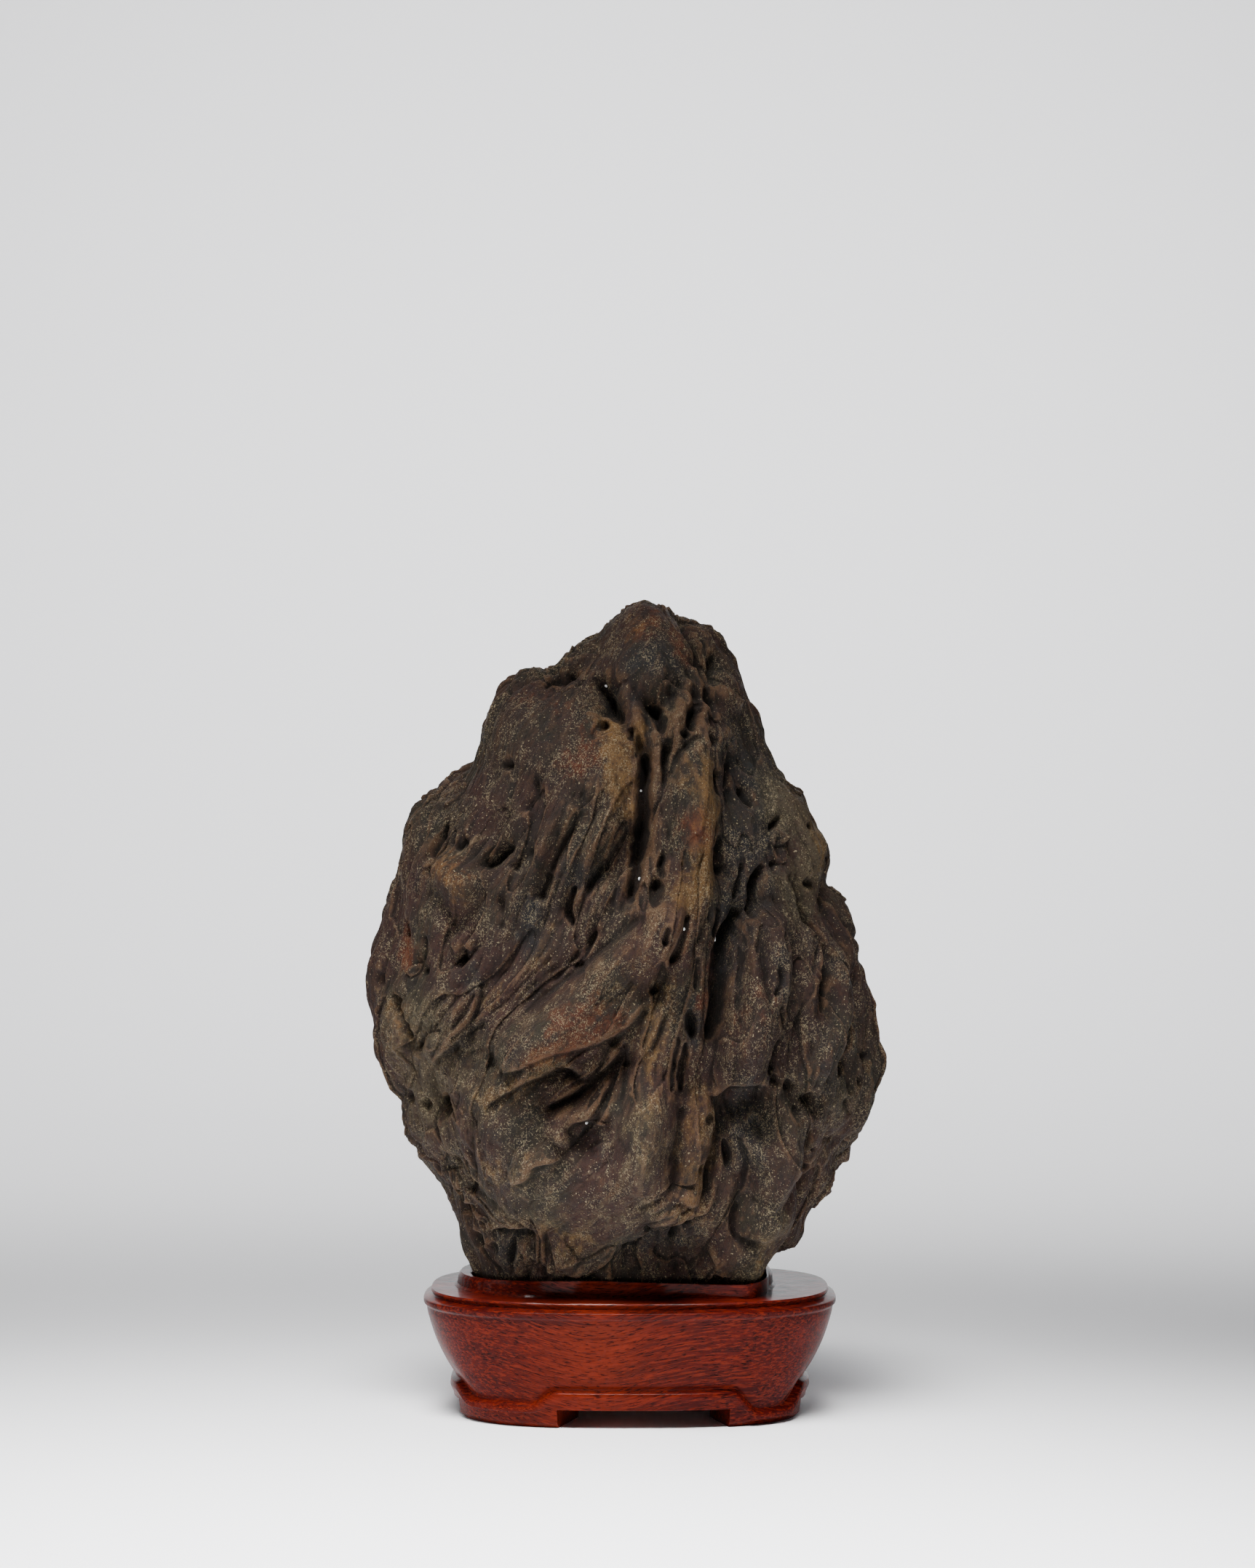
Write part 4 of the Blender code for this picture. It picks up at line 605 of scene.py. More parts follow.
# ---------------------------------------------------------------- the plain stone
def outline_by_angle():
    """The outline as a radius at each angle round the axis."""
    curve = smooth_curve(OUTLINE_LEFT + OUTLINE_FOOT + OUTLINE_RIGHT, 6, closed=True)
    across, up = curve[:, 0] - AXIS_X, curve[:, 1] - AXIS_Z
    angle, radius = np.arctan2(up, across), np.hypot(across, up)
    order = np.argsort(angle)
    angle, radius = angle[order], radius[order]
    angle = np.concatenate([angle[-1:] - 2 * np.pi, angle, angle[:1] + 2 * np.pi])
    radius = np.concatenate([radius[-1:], radius, radius[:1]])
    return angle, radius


OUTLINE_ANGLE, OUTLINE_RADIUS = outline_by_angle()


def outline_radius(angle):
    return np.interp(angle, OUTLINE_ANGLE, OUTLINE_RADIUS)


def calm_radius(angle):
    """The outline's radius with its small lobes averaged away."""
    turns = np.radians(np.arange(-AVERAGED_DEGREES, AVERAGED_DEGREES + 1.0, 2.0))
    weight = np.cos(turns * np.pi / turns[-1] / 2.0) ** 2
    total = sum(share * outline_radius(np.mod(angle + turn + np.pi, 2 * np.pi) - np.pi)
                for share, turn in zip(weight, turns))
    return total / weight.sum()


def depth_share(share_out):
    """How deep the plain stone is, 0 to 1, at a share of the way out to its outline."""
    return np.sqrt(1.0 - np.clip(share_out, 0.0, 1.0) ** FLATNESS)


def plain_stone(directions, lobed_rim):
    """The plain stone's surface, in mm, for unit directions from its middle. The lobes
    of the outline are only at the rim, and the front and back don't show them."""
    angle = np.arctan2(directions[:, 2], directions[:, 0])
    share_out = np.hypot(directions[:, 0], directions[:, 2])
    radius = calm_radius(angle)
    if lobed_rim:
        radius += (outline_radius(angle) - radius) * share_out ** RIM_POWER
    deepest = np.where(directions[:, 1] < 0, -FRONT_DEPTH, BACK_DEPTH)
    surface = np.column_stack([
        AXIS_X + radius * share_out * np.cos(angle),
        deepest * depth_share(share_out),
        AXIS_Z + radius * share_out * np.sin(angle)])
    surface[:, 2] = np.maximum(surface[:, 2], FOOT_CUT)
    return surface


def share_out_at(across, up):
    """The share of the way out to the outline at a place seen from the front."""
    angle = np.arctan2(up - AXIS_Z, across - AXIS_X)
    off = np.hypot(up - AXIS_Z, across - AXIS_X)
    calm, lobed = calm_radius(angle), outline_radius(angle)
    share = off / calm
    for _ in range(12):
        share = off / (calm + (lobed - calm) * np.minimum(share, 1.0) ** RIM_POWER)
    return share


def on_face(face, marks):
    """Lift the points of a mark, drawn on one face of the stone, to the plain stone."""
    marks = np.asarray(marks, dtype=float)
    up = marks[:, 1]
    if face in ("front", "back"):
        across = marks[:, 0]
        deepest = -FRONT_DEPTH if face == "front" else BACK_DEPTH
        return np.column_stack([across, deepest * depth_share(share_out_at(across, up)), up])
    along = marks[:, 0]
    side = -1.0 if face == "left" else 1.0
    deepest = np.where(along < 0, FRONT_DEPTH, BACK_DEPTH)
    share_out = (1.0 - np.clip(np.abs(along) / deepest, 0.0, 1.0) ** 2) ** (1.0 / FLATNESS)
    across = np.full_like(along, 100.0)
    for _ in range(30):
        reach = outline_radius(np.arctan2(up - AXIS_Z, side * across)) * share_out
        across = np.sqrt(np.maximum(reach ** 2 - (up - AXIS_Z) ** 2, 1.0))
    return np.column_stack([AXIS_X + side * across, along, up])


# ---------------------------------------------------------------- the marks
def follow(points, normals, path, reach):
    """Where the points lie by a path: which are in reach, how far off, how far along it
    (0 to 1) and on which side (positive on the left, seen from outside)."""
    middle = path.mean(axis=0)
    spread = np.linalg.norm(path - middle, axis=1).max() + reach
    near = np.flatnonzero(np.linalg.norm(points - middle, axis=1) < spread)
    best = np.full(len(near), np.inf)
    along, side = np.zeros(len(near)), np.zeros(len(near))
    spot, outward = points[near], normals[near]
    legs = max(len(path) - 1, 1)
    for leg, (start, end) in enumerate(zip(path, path[1:])):
        run = end - start
        share = np.clip((spot - start) @ run / (run @ run), 0.0, 1.0)
        offset = spot - start - share[:, None] * run
        distance = np.linalg.norm(offset, axis=1)
        closer = distance < best
        best[closer] = distance[closer]
        along[closer] = ((leg + share) / legs)[closer]
        left = np.cross(outward, run)
        side[closer] = np.einsum("ij,ij->i", left, offset)[closer]
    keep = best < reach
    return near[keep], best[keep], along[keep], side[keep]


def mark_path(face, marks):
    return on_face(face, smooth_curve(marks, PATH_STEPS))


def end_fade(along):
    """Marks run out to nothing at both of their ends."""
    return smoothstep(along / MARK_ENDS) * smoothstep((1.0 - along) / MARK_ENDS)


def swell_height(points, normals):
    height = np.zeros(len(points))
    for face, marks in SWELLS.items():
        for half_width, rise, spots in marks:
            near, off, _, _ = follow(points, normals, mark_path(face, spots), half_width)
            height[near] += rise * (1.0 - (off / half_width) ** 2) ** 2
    return height


def ledge_height(points, normals):
    height = np.zeros(len(points))
    for face, marks in LEDGES.items():
        for width, rise, spots in marks:
            near, off, along, side = follow(points, normals, mark_path(face, spots), width)
            share = off / np.where(side > 0, width, LEDGE_DROP * width)
            share = np.minimum(share, 1.0)
            lip = rise * (1.0 - share ** 2) ** 2 * end_fade(along)
            height[near] = np.maximum(height[near], lip)
    return height


def cut_depth(points, normals):
    """Slots, creases and pits: where they cross, the deeper one is kept."""
    depth = np.zeros(len(points))
    uneven = 1.0 + MARK_UNEVEN * lattice_noise(points / MARK_UNEVEN_SIZE, 5)
    for face, marks in SLOTS.items():
        for half_width, fall, spots in marks:
            reach = SLOT_FLANK * half_width
            near, off, along, _ = follow(points, normals, mark_path(face, spots), reach)
            swelling = np.sqrt(np.clip(np.sin(np.pi * along), 0.0, 1.0))
            narrowed = half_width * (SLOT_END_WIDTH + (1.0 - SLOT_END_WIDTH) * swelling)
            core = 1.0 - np.minimum(off / narrowed, 1.0) ** SLOT_ROUNDNESS
            flank = (1.0 - off / reach) ** 2
            steep = SLOT_STEEP_SHARE * core + (1.0 - SLOT_STEEP_SHARE) * flank
            cut = SLOT_DEEPER * fall * steep
            depth[near] = np.maximum(depth[near], cut)
    for face, marks in CREASES.items():
        for half_width, fall, spots in marks:
            reach = CREASE_FLANK * half_width
            near, off, along, _ = follow(points, normals, mark_path(face, spots), reach)
            cut = fall * (1.0 - off / reach) ** 2 * end_fade(along)
            depth[near] = np.maximum(depth[near], cut)
    for face, marks in PITS.items():
        for radius, fall, spot in marks:
            centre = on_face(face, [spot])[0]
            off = np.linalg.norm(points - centre, axis=1)
            near = np.flatnonzero(off < PIT_FLANK * radius)
            cut = fall * (1.0 - (off[near] / (PIT_FLANK * radius)) ** 2) ** 2
            depth[near] = np.maximum(depth[near], cut)
    return depth * uneven


# ---------------------------------------------------------------- the grain
def lattice_noise(places, seed):
    """Smooth noise, about -0.7 to 0.7, that changes over a distance of 1."""
    cell = np.floor(places).astype(np.int64)
    inside = places - cell
    ease = inside ** 3 * (inside * (inside * 6 - 15) + 10)
    total = np.zeros(len(places))
    for corner in product((0, 1), repeat=3):
        key = (cell + corner) @ np.array([374761393, 668265263, 2147483647]) + seed * 69069
        key = ((key ^ (key >> 13)) * 1274126177) & 0x7FFFFFFF
        key = ((key ^ (key >> 16)) * 2654435) & 0x7FFFFFFF
        gradient = np.column_stack([key & 1023, (key >> 10) & 1023, (key >> 20) & 1023])
        gradient = gradient / 511.5 - 1.0
        weight = np.prod(np.where(corner, ease, 1.0 - ease), axis=1)
        total += weight * np.einsum("ij,ij->i", gradient, inside - corner)
    return total


def grain_direction(points):
    """The way the furrows run at each point, in degrees from +X."""
    flow = np.zeros((len(points), 2))
    for face, spots in GRAIN.items():
        for across, up, degrees in spots:
            place = on_face(face, [(across, up)])[0]
            weight = 1.0 / (((points - place) ** 2).sum(axis=1) + GRAIN_REACH ** 2) ** 2
            turn = math.radians(degrees)
            flow += weight[:, None] * (math.cos(turn), math.sin(turn))
    return np.degrees(np.arctan2(flow[:, 1], flow[:, 0]))


def grain_strength(points):
    strength = np.ones(len(points))
    for across, up, radius, share in CALM:
        place = on_face("front", [(across, up)])[0]
        off = np.linalg.norm(points - place, axis=1) / radius
        fade = smoothstep((off - CALM_CORE) / (1.0 - CALM_CORE))
        strength = np.minimum(strength, share + (1.0 - share) * fade)
    return strength


def combed_noise(points, direction, across, along, seed):
    """Noise drawn out along the grain: a blend of noises drawn out in fixed directions."""
    total = np.zeros(len(points))
    spacing = COMB_ANGLES[1] - COMB_ANGLES[0]
    direction = np.clip(direction, COMB_ANGLES[0], COMB_ANGLES[-1])
    for number, angle in enumerate(COMB_ANGLES):
        weight = np.clip(1.0 - np.abs(direction - angle) / spacing, 0.0, 1.0)
        axis = np.array([math.cos(math.radians(angle)), 0.0, math.sin(math.radians(angle))])
        length_on_axis = (points @ axis)[:, None] * axis
        places = (points - length_on_axis) / across + length_on_axis / along
        total += weight * lattice_noise(places + 17.0 * number, seed)
    return total


def grain_depth(surface):
    """Furrows with rounded ridges between them, and flakes that overlap like shingles."""
    direction = grain_direction(surface)
    wander = np.column_stack([
        lattice_noise(surface / GRAIN_WANDER_SIZE, seed) for seed in (11, 12, 13)])
    combed = surface + GRAIN_WANDER * wander
    depth = np.zeros(len(surface))
    for number, (across, along, fall) in enumerate(FURROWS):
        furrow = np.abs(combed_noise(combed, direction, across, along, 20 + number))
        depth += fall * (1.0 - np.minimum(FURROW_STEEPNESS * furrow, 1.0)) ** FURROW_SHARPNESS
    layer = FLAKE_LAYERS * combed_noise(combed, direction, FLAKE_ACROSS, FLAKE_ALONG, 30)
    depth += FLAKE_STEP * smoothstep((layer - np.floor(layer)) / FLAKE_SLOPE)
    return depth


def worn_stone(surface, normals):
    """The plain stone's surface with its swells, ledges, cuts and grain."""
    marked = surface.copy()
    for reach, size, seed in MARK_WANDERS:
        marked += reach * np.column_stack([
            lattice_noise(surface / size, seed + axis) for axis in range(3)])
    rise = swell_height(marked, normals) + ledge_height(marked, normals)
    rise += LUMP_HEIGHT * lattice_noise(surface / LUMP_SIZE, 4)
    # The outline already has the lobes that stick out at the rim.
    facing = RIM_RELIEF + (1.0 - RIM_RELIEF) * smoothstep(np.abs(normals[:, 1]) / RIM_TURN)
    rise = np.where(rise > 0, rise * facing, rise)
    mean = GRAIN_MEAN * (1.0 + facing) / 2.0
    rise -= (grain_depth(surface) - mean) * grain_strength(surface)
    rise -= cut_depth(marked, normals)
    rise *= smoothstep((surface[:, 2] - SMOOTH_BELOW) / SMOOTH_BLEND)
    return surface + rise[:, None] * normals


# ---------------------------------------------------------------- meshes
def vertex_array(mesh):
    flat = np.empty(len(mesh.vertices) * 3)
    mesh.vertices.foreach_get("co", flat)
    return flat.reshape(-1, 3)


def set_vertices(mesh, places):
    mesh.vertices.foreach_set("co", np.ascontiguousarray(places).ravel())
    mesh.update()


def normal_array(mesh):
    flat = np.empty(len(mesh.vertices) * 3)
    mesh.vertex_normals.foreach_get("vector", flat)
    return flat.reshape(-1, 3)


def new_object(name, mesh):
    thing = bpy.data.objects.new(name, mesh)
    bpy.context.scene.collection.objects.link(thing)
    return thing


def applied(thing):
    """Replace an object's mesh by what its modifiers make of it, and remove them."""
    bpy.context.view_layer.update()
    graph = bpy.context.evaluated_depsgraph_get()
    mesh = bpy.data.meshes.new_from_object(thing.evaluated_get(graph))
    thing.modifiers.clear()
    thing.data = mesh
    mesh.name = thing.name
    return mesh


def add_attribute(mesh, name, values):
    mesh.attributes.new(name, "FLOAT", "POINT").data.foreach_set("value", values)


def finish_piece(piece, material, slot, *nodes):
    piece.data.materials.clear()
    piece.data.materials.append(material)
    piece.data.shade_smooth()
    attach(piece, "root")
    if nodes:
        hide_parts(*nodes)


def loft(rings, closed_top=True):
    """A solid through rings of points, bottom to top."""
    shape = bmesh.new()
    loops = [[shape.verts.new((np.array(point) - MIDDLE) * MM) for point in ring]
             for ring in rings]
    for lower, upper in zip(loops, loops[1:]):
        for here in range(len(lower)):
            there = (here + 1) % len(lower)
            shape.faces.new((lower[here], lower[there], upper[there], upper[here]))
    shape.faces.new(list(reversed(loops[0])))
    if closed_top:
        shape.faces.new(loops[-1])
    mesh = bpy.data.meshes.new("loft")
    shape.to_mesh(mesh)
    shape.free()
    return mesh


# ---------------------------------------------------------------- the stone
def smoothed(values, edges, rounds):
    """Values averaged with their neighbours', round after round."""
    start, end = edges[:, 0], edges[:, 1]
    count = np.bincount(edges.ravel(), minlength=len(values))
    for _ in range(rounds):
        total = np.bincount(start, values[end], len(values))
        total += np.bincount(end, values[start], len(values))
        values = (values + total / count) / 2.0
    return values


def stain_strength(name, points, normals):
    """How strongly the stone is stained at each point, 0 to 1, with ragged edges."""
    wander = np.column_stack([
        lattice_noise(points / STAIN_WANDER_SIZE, seed) for seed in (41, 42, 43)])
    strayed = points + STAIN_WANDER * wander
    strength = np.zeros(len(points))
    for half_width, share, spots in STAINS[name]:
        reach = STAIN_FADE * half_width
        near, off, _, _ = follow(strayed, normals, mark_path("front", spots), reach)
        strength[near] = np.maximum(strength[near], share * smoothstep(1.0 - off / reach))
    return strength


def vein_strength(points):
    """Where the thin pale veins run."""
    strength = np.zeros(len(points))
    wander = 1.2 * lattice_noise(points / 9.0, 51)
    for ends in VEINS:
        path = mark_path("front", ends)
        near, off, _, _ = follow(points, points, path, 6.0)
        strength[near] = np.maximum(
            strength[near], 1.0 - np.minimum(np.abs(off + wander[near]) / VEIN_WIDTH, 1.0))
    return strength


def fine_relief(surface):
    """The depth of the stone's finest furrows."""
    direction = grain_direction(surface)
    depth = np.zeros(len(surface))
    for number, (across, along, fall) in enumerate(FINE_FURROWS):
        furrow = np.abs(combed_noise(surface, direction, across, along, 22 + number))
        depth += fall * (1.0 - np.minimum(FURROW_STEEPNESS * furrow, 1.0)) ** FURROW_SHARPNESS
    return depth * (FINE_KEPT + (1.0 - FINE_KEPT) * grain_strength(surface))


def dense_stone():
    """The worn stone as a dense mesh, with what the finish needs to know at each vertex."""
    shape = bmesh.new()
    bmesh.ops.create_icosphere(shape, subdivisions=STONE_LEVEL, radius=1.0)
    mesh = bpy.data.meshes.new("stone")
    shape.to_mesh(mesh)
    shape.free()
    directions = vertex_array(mesh) + (0.0, -FRONT_CROWDING, 0.0)
    directions /= np.linalg.norm(directions, axis=1)[:, None]
    set_vertices(mesh, plain_stone(directions, lobed_rim=False))
    normals = normal_array(mesh)
    surface = plain_stone(directions, lobed_rim=True)
    worn = worn_stone(surface, normals)
    fine = fine_relief(surface) * smoothstep((surface[:, 2] - SMOOTH_BELOW) / SMOOTH_BLEND)
    worn -= fine[:, None] * normals
    rise = np.einsum("ij,ij->i", worn - surface, normals)
    edges = np.empty(len(mesh.edges) * 2, dtype=np.int32)
    mesh.edges.foreach_get("vertices", edges)
    edges = edges.reshape(-1, 2)
    fine = (smoothed(rise, edges, CREVICE_ROUNDS) - rise) / CREVICE_DEPTH
    broad = (smoothed(rise, edges, VALLEY_ROUNDS) - rise) / VALLEY_DEPTH
    facts = {
        "crevice": np.clip(fine, 0.0, 1.0),
        "ridge": np.clip(-fine, 0.0, 1.0),
        "valley": np.clip(broad, 0.0, 1.0),
        "crest": np.clip(-broad, 0.0, 1.0),
        "cleft": np.clip(cut_depth(surface, normals) / 12.0, 0.0, 1.0),
        "streak": combed_noise(
            surface, grain_direction(surface), STREAK_ACROSS, STREAK_ALONG, 61),
        "run": grain_direction(surface),
        "vein": vein_strength(surface)}
    for name in STAINS:
        facts[name] = stain_strength(name, surface, normals)
    set_vertices(mesh, (worn - MIDDLE) * MM)
    return mesh, worn, facts


def thinned_stone(dense, facts):
    """The stone thinned to what a piece may hold, most where it is flattest."""
    places = vertex_array(dense)
    stone = new_object("stone", dense)
    thin = stone.modifiers.new("fewer faces", "DECIMATE")
    thin.ratio = STONE_TRIANGLES / len(dense.polygons)
    mesh = applied(stone)
    tree = KDTree(len(places))
    for number, place in enumerate(places):
        tree.insert(place, number)
    tree.balance()
    kept = vertex_array(mesh)
    nearest = np.array([tree.find(place)[1] for place in kept])
    lowest, highest = (np.array(corner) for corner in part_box("rock"))
    set_vertices(mesh, np.clip(kept, lowest, highest))
    for name, values in facts.items():
        add_attribute(mesh, name, values[nearest])
    return stone


# ---------------------------------------------------------------- the grit in its hollows
def grit_tree():
    """Distributes small faceted grains over a surface, thickest in its hollows."""
    tree = bpy.data.node_groups.new("lodged grit", "GeometryNodeTree")
    face = tree.interface
    face.new_socket("Surface", in_out="INPUT", socket_type="NodeSocketGeometry")
    face.new_socket("Grains per square metre", in_out="INPUT", socket_type="NodeSocketFloat")
    face.new_socket("Grain radius", in_out="INPUT", socket_type="NodeSocketFloat")
    face.new_socket("Seed", in_out="INPUT", socket_type="NodeSocketInt")
    face.new_socket("Material", in_out="INPUT", socket_type="NodeSocketMaterial")
    face.new_socket("Grains", in_out="OUTPUT", socket_type="NodeSocketGeometry")
    nodes, links = tree.nodes, tree.links
    given = nodes.new("NodeGroupInput")
    result = nodes.new("NodeGroupOutput")
    hollow = nodes.new("GeometryNodeInputNamedAttribute")
    hollow.data_type = "FLOAT"
    hollow.inputs["Name"].default_value = "lodging"
    density = nodes.new("ShaderNodeMath")
    density.operation = "MULTIPLY"
    scatter = nodes.new("GeometryNodeDistributePointsOnFaces")
    grain = nodes.new("GeometryNodeMeshIcoSphere")
    grain.inputs["Subdivisions"].default_value = 1
    size = nodes.new("FunctionNodeRandomValue")
    size.data_type = "FLOAT_VECTOR"
    size.inputs[0].default_value = (0.45, 0.45, 0.45)
    size.inputs[1].default_value = (1.5, 1.2, 1.3)
    turn = nodes.new("FunctionNodeRandomValue")
    turn.data_type = "FLOAT_VECTOR"
    turn.inputs[1].default_value = (math.tau, math.tau, math.tau)
    place = nodes.new("GeometryNodeInstanceOnPoints")
    real = nodes.new("GeometryNodeRealizeInstances")
    paint = nodes.new("GeometryNodeSetMaterial")
    links.new(given.outputs["Surface"], scatter.inputs["Mesh"])
    links.new(given.outputs["Grains per square metre"], density.inputs[0])
    links.new(hollow.outputs["Attribute"], density.inputs[1])
    links.new(density.outputs[0], scatter.inputs["Density"])
    links.new(given.outputs["Seed"], scatter.inputs["Seed"])
    links.new(given.outputs["Grain radius"], grain.inputs["Radius"])
    links.new(scatter.outputs["Points"], place.inputs["Points"])
    links.new(grain.outputs["Mesh"], place.inputs["Instance"])
    links.new(size.outputs[0], place.inputs["Scale"])
    links.new(turn.outputs[0], place.inputs["Rotation"])
    links.new(place.outputs["Instances"], real.inputs["Geometry"])
    links.new(real.outputs["Geometry"], paint.inputs["Geometry"])
    links.new(given.outputs["Material"], paint.inputs["Material"])
    links.new(paint.outputs["Geometry"], result.inputs["Grains"])
    return tree


def make_grit(stone, material):
    grit = new_object("grit", stone.data.copy())
    lodging = np.empty((3, len(grit.data.vertices)))
    for row, name in zip(lodging, ("cleft", "valley", "crevice")):
        grit.data.attributes[name].data.foreach_get("value", row)
    add_attribute(grit.data, "lodging", np.clip(lodging[0] * 0.7 + lodging[1] * lodging[2], 0, 1) ** 2)
    tree = grit_tree()
    strewn = grit.modifiers.new("lodged grit", "NODES")
    strewn.node_group = tree
    settings = {"Grains per square metre": GRIT_PER_SQUARE_METRE,
                "Grain radius": GRIT_RADIUS * MM, "Seed": GRIT_SEED, "Material": material}
    for item in tree.interface.items_tree:
        if item.item_type == "SOCKET" and item.in_out == "INPUT" and item.name in settings:
            strewn[item.identifier] = settings[item.name]
    applied(grit)
    return grit


# ---------------------------------------------------------------- the stand
def plan_ring(half_width, half_depth):
    """Points round the stand's plan, anticlockwise from +X, in mm."""
    angle = np.arange(STAND_POINTS) * 2 * np.pi / STAND_POINTS
    cosine, sine = np.cos(angle), np.sin(angle)
    power = 2.0 / SQUARENESS
    across = STAND_X + half_width * np.sign(cosine) * np.abs(cosine) ** power
    deep = half_depth * np.sign(sine) * np.abs(sine) ** power
    return across, deep


def over_foot(across, deep):
    """1 over the stand's feet and 0 over its openings, with a curve between."""
    past_front = np.maximum(across - ARCH_FRONT[1], ARCH_FRONT[0] - across)
    past_end = np.abs(deep) - ARCH_END
    return smoothstep(np.minimum(past_front, past_end) / BEAD_STEP)


def rounded(profile):
    """A profile with each of its corners turned into a short curve."""
    profile = np.asarray(profile, dtype=float)
    out = [profile[0]]
    for before, corner, after in zip(profile, profile[1:], profile[2:]):
        back, ahead = before - corner, after - corner
        reach_back = min(EDGE_ROUND / np.hypot(*back[:2]), 0.45)
        reach_ahead = min(EDGE_ROUND / np.hypot(*ahead[:2]), 0.45)
        start, end = corner + back * reach_back, corner + ahead * reach_ahead
        for share in np.linspace(0.0, 1.0, ROUND_STEPS + 1):
            out.append((1 - share) ** 2 * start + 2 * share * (1 - share) * corner
                       + share ** 2 * end)
    out.append(profile[-1])
    return np.array(out)


def stand_profile():
    """The stand's rings, feet to plate, with the body's curve and the mouldings rounded."""
    rings = np.array(STAND_RINGS)
    body = smooth_curve(rings[FIRST_BODY_RING:LAST_BODY_RING + 1], BODY_STEPS)
    return rounded(np.vstack([rings[:FIRST_BODY_RING], body, rings[LAST_BODY_RING + 1:]]))


def section_at(turns, stone):
    """How far the stone's foot reaches at each turn, from the collar's middle, in mm."""
    low = stone[(stone[:, 2] > 54.5) & (stone[:, 2] < SEAT_RINGS[0] + 0.6)]
    angle = np.arctan2(low[:, 1], low[:, 0] - COLLAR_X)
    reach = np.hypot(low[:, 0] - COLLAR_X, low[:, 1])
    order = np.argsort(angle)
    angle, reach = angle[order], reach[order]
    span = np.radians(1.5)
    out = np.zeros(len(turns))
    for number, turn in enumerate(turns):
        first, last = np.searchsorted(angle, (turn - span, turn + span))
        out[number] = reach[first:last].max() if last > first else 0.0
    filled = out > 0
    out = np.interp(np.arange(len(out)), np.flatnonzero(filled), out[filled])
    near = range(-SEAT_EASED, SEAT_EASED + 1)
    widened = np.maximum.reduce([np.roll(out, step) for step in near])
    return sum(np.roll(widened, step) for step in near) / len(near)


def collar_turns():
    across, deep = plan_ring(*STAND_RINGS[-1][1:3])
    return np.arctan2(deep, across - STAND_X)


def collar_lobe(turn):
    """How far the collar's carving stands out at a turn, in mm."""
    total = 0.0
    for degrees, half_width, out in COLLAR_LOBES:
        off = (np.degrees(turn) - degrees + 180.0) % 360.0 - 180.0
        total = total + out * np.exp(-(off / half_width) ** 2)
    return total


def collar_sides():
    """How far the stone's plain foot reaches at each of the collar's points."""
    reach = np.arange(0.0, COLLAR_FARTHEST, COLLAR_SHARPNESS)
    sides = []
    for turn in collar_turns():
        spots_x, spots_y = COLLAR_X + reach * math.cos(turn), reach * math.sin(turn)
        out = share_out_at(spots_x, np.full_like(spots_x, COLLAR_PLAN_HEIGHT))
        half = np.where(spots_y < 0, FRONT_DEPTH, BACK_DEPTH) * depth_share(out)
        sides.append(reach[np.flatnonzero(np.abs(spots_y) >= half)[0]])
    return np.array(sides)


def make_stand(stone_places):
    rings = []
    for height, half_width, half_depth, stepped in stand_profile():
        across, deep = plan_ring(half_width, half_depth)
        drop = np.where(across < STAND_X, *BEAD_DROP) * over_foot(across, deep) * stepped
        rings.append(np.column_stack([across, deep, height - drop]))
    turns, sides = collar_turns(), collar_sides()
    inner = section_at(turns, stone_places) + SEAT_CLEARANCE
    lobes = collar_lobe(turns)
    for height, outward, _ in rounded([(*ring, 0.0) for ring in COLLAR_RINGS]):
        edge = np.maximum(sides + outward + lobes, inner + COLLAR_WALL)
        wave = COLLAR_WAVE_UP if height > COLLAR_LEVEL_BELOW else 0.0
        up = height + wave * np.sin(COLLAR_WAVES * turns + COLLAR_WAVE_TURN)
        rings.append(np.column_stack([
            COLLAR_X + edge * np.cos(turns), edge * np.sin(turns), up]))
    for number, height in enumerate(SEAT_RINGS):
        edge = inner + (COLLAR_WALL / 2.0 if number == 0 else 0.0)
        wave = COLLAR_WAVE_UP if height > COLLAR_LEVEL_BELOW else 0.0
        up = height + wave * np.sin(COLLAR_WAVES * turns + COLLAR_WAVE_TURN)
        rings.append(np.column_stack([
            COLLAR_X + edge * np.cos(turns), edge * np.sin(turns), up]))
    stand = new_object("carved_stand", loft(rings))
    cutters = []
    for name, plan in zip(("front_to_back", "end_to_end"), opening_plans()):
        low = [(x, y, -CUT_PAST_Z) for x, y in plan]
        high = [(x, y, ARCH_HEIGHT) for x, y in plan]
        cutter = new_object(name, loft([low, high]))
        cut = stand.modifiers.new(name, "BOOLEAN")
        cut.operation = "DIFFERENCE"
        cut.solver = "EXACT"
        cut.object = cutter
        cutters.append(cutter)
    applied(stand)
    for cutter in cutters:
        bpy.data.objects.remove(cutter)
    lowest, highest = (np.array(corner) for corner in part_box("stand"))
    set_vertices(stand.data, np.clip(vertex_array(stand.data), lowest, highest))
    return stand


def opening_plans():
    """The two openings that cross under the block, as plan outlines: each narrows from
    its ends to the middle."""
    left, right = ARCH_FRONT
    waist_left, waist_right = left + ARCH_NARROWING, right - ARCH_NARROWING
    past, near, waist = CUT_PAST_Y, OPENING_STRAIGHT, OPENING_WAIST
    front_to_back = [
        (left, -past), (right, -past), (right, -near), (waist_right, -waist),
        (waist_right, waist), (right, near), (right, past), (left, past),
        (left, near), (waist_left, waist), (waist_left, -waist), (left, -near)]
    end_to_end = [(-CUT_PAST_X, -ARCH_END), (CUT_PAST_X, -ARCH_END),
                  (CUT_PAST_X, ARCH_END), (-CUT_PAST_X, ARCH_END)]
    return front_to_back, end_to_end


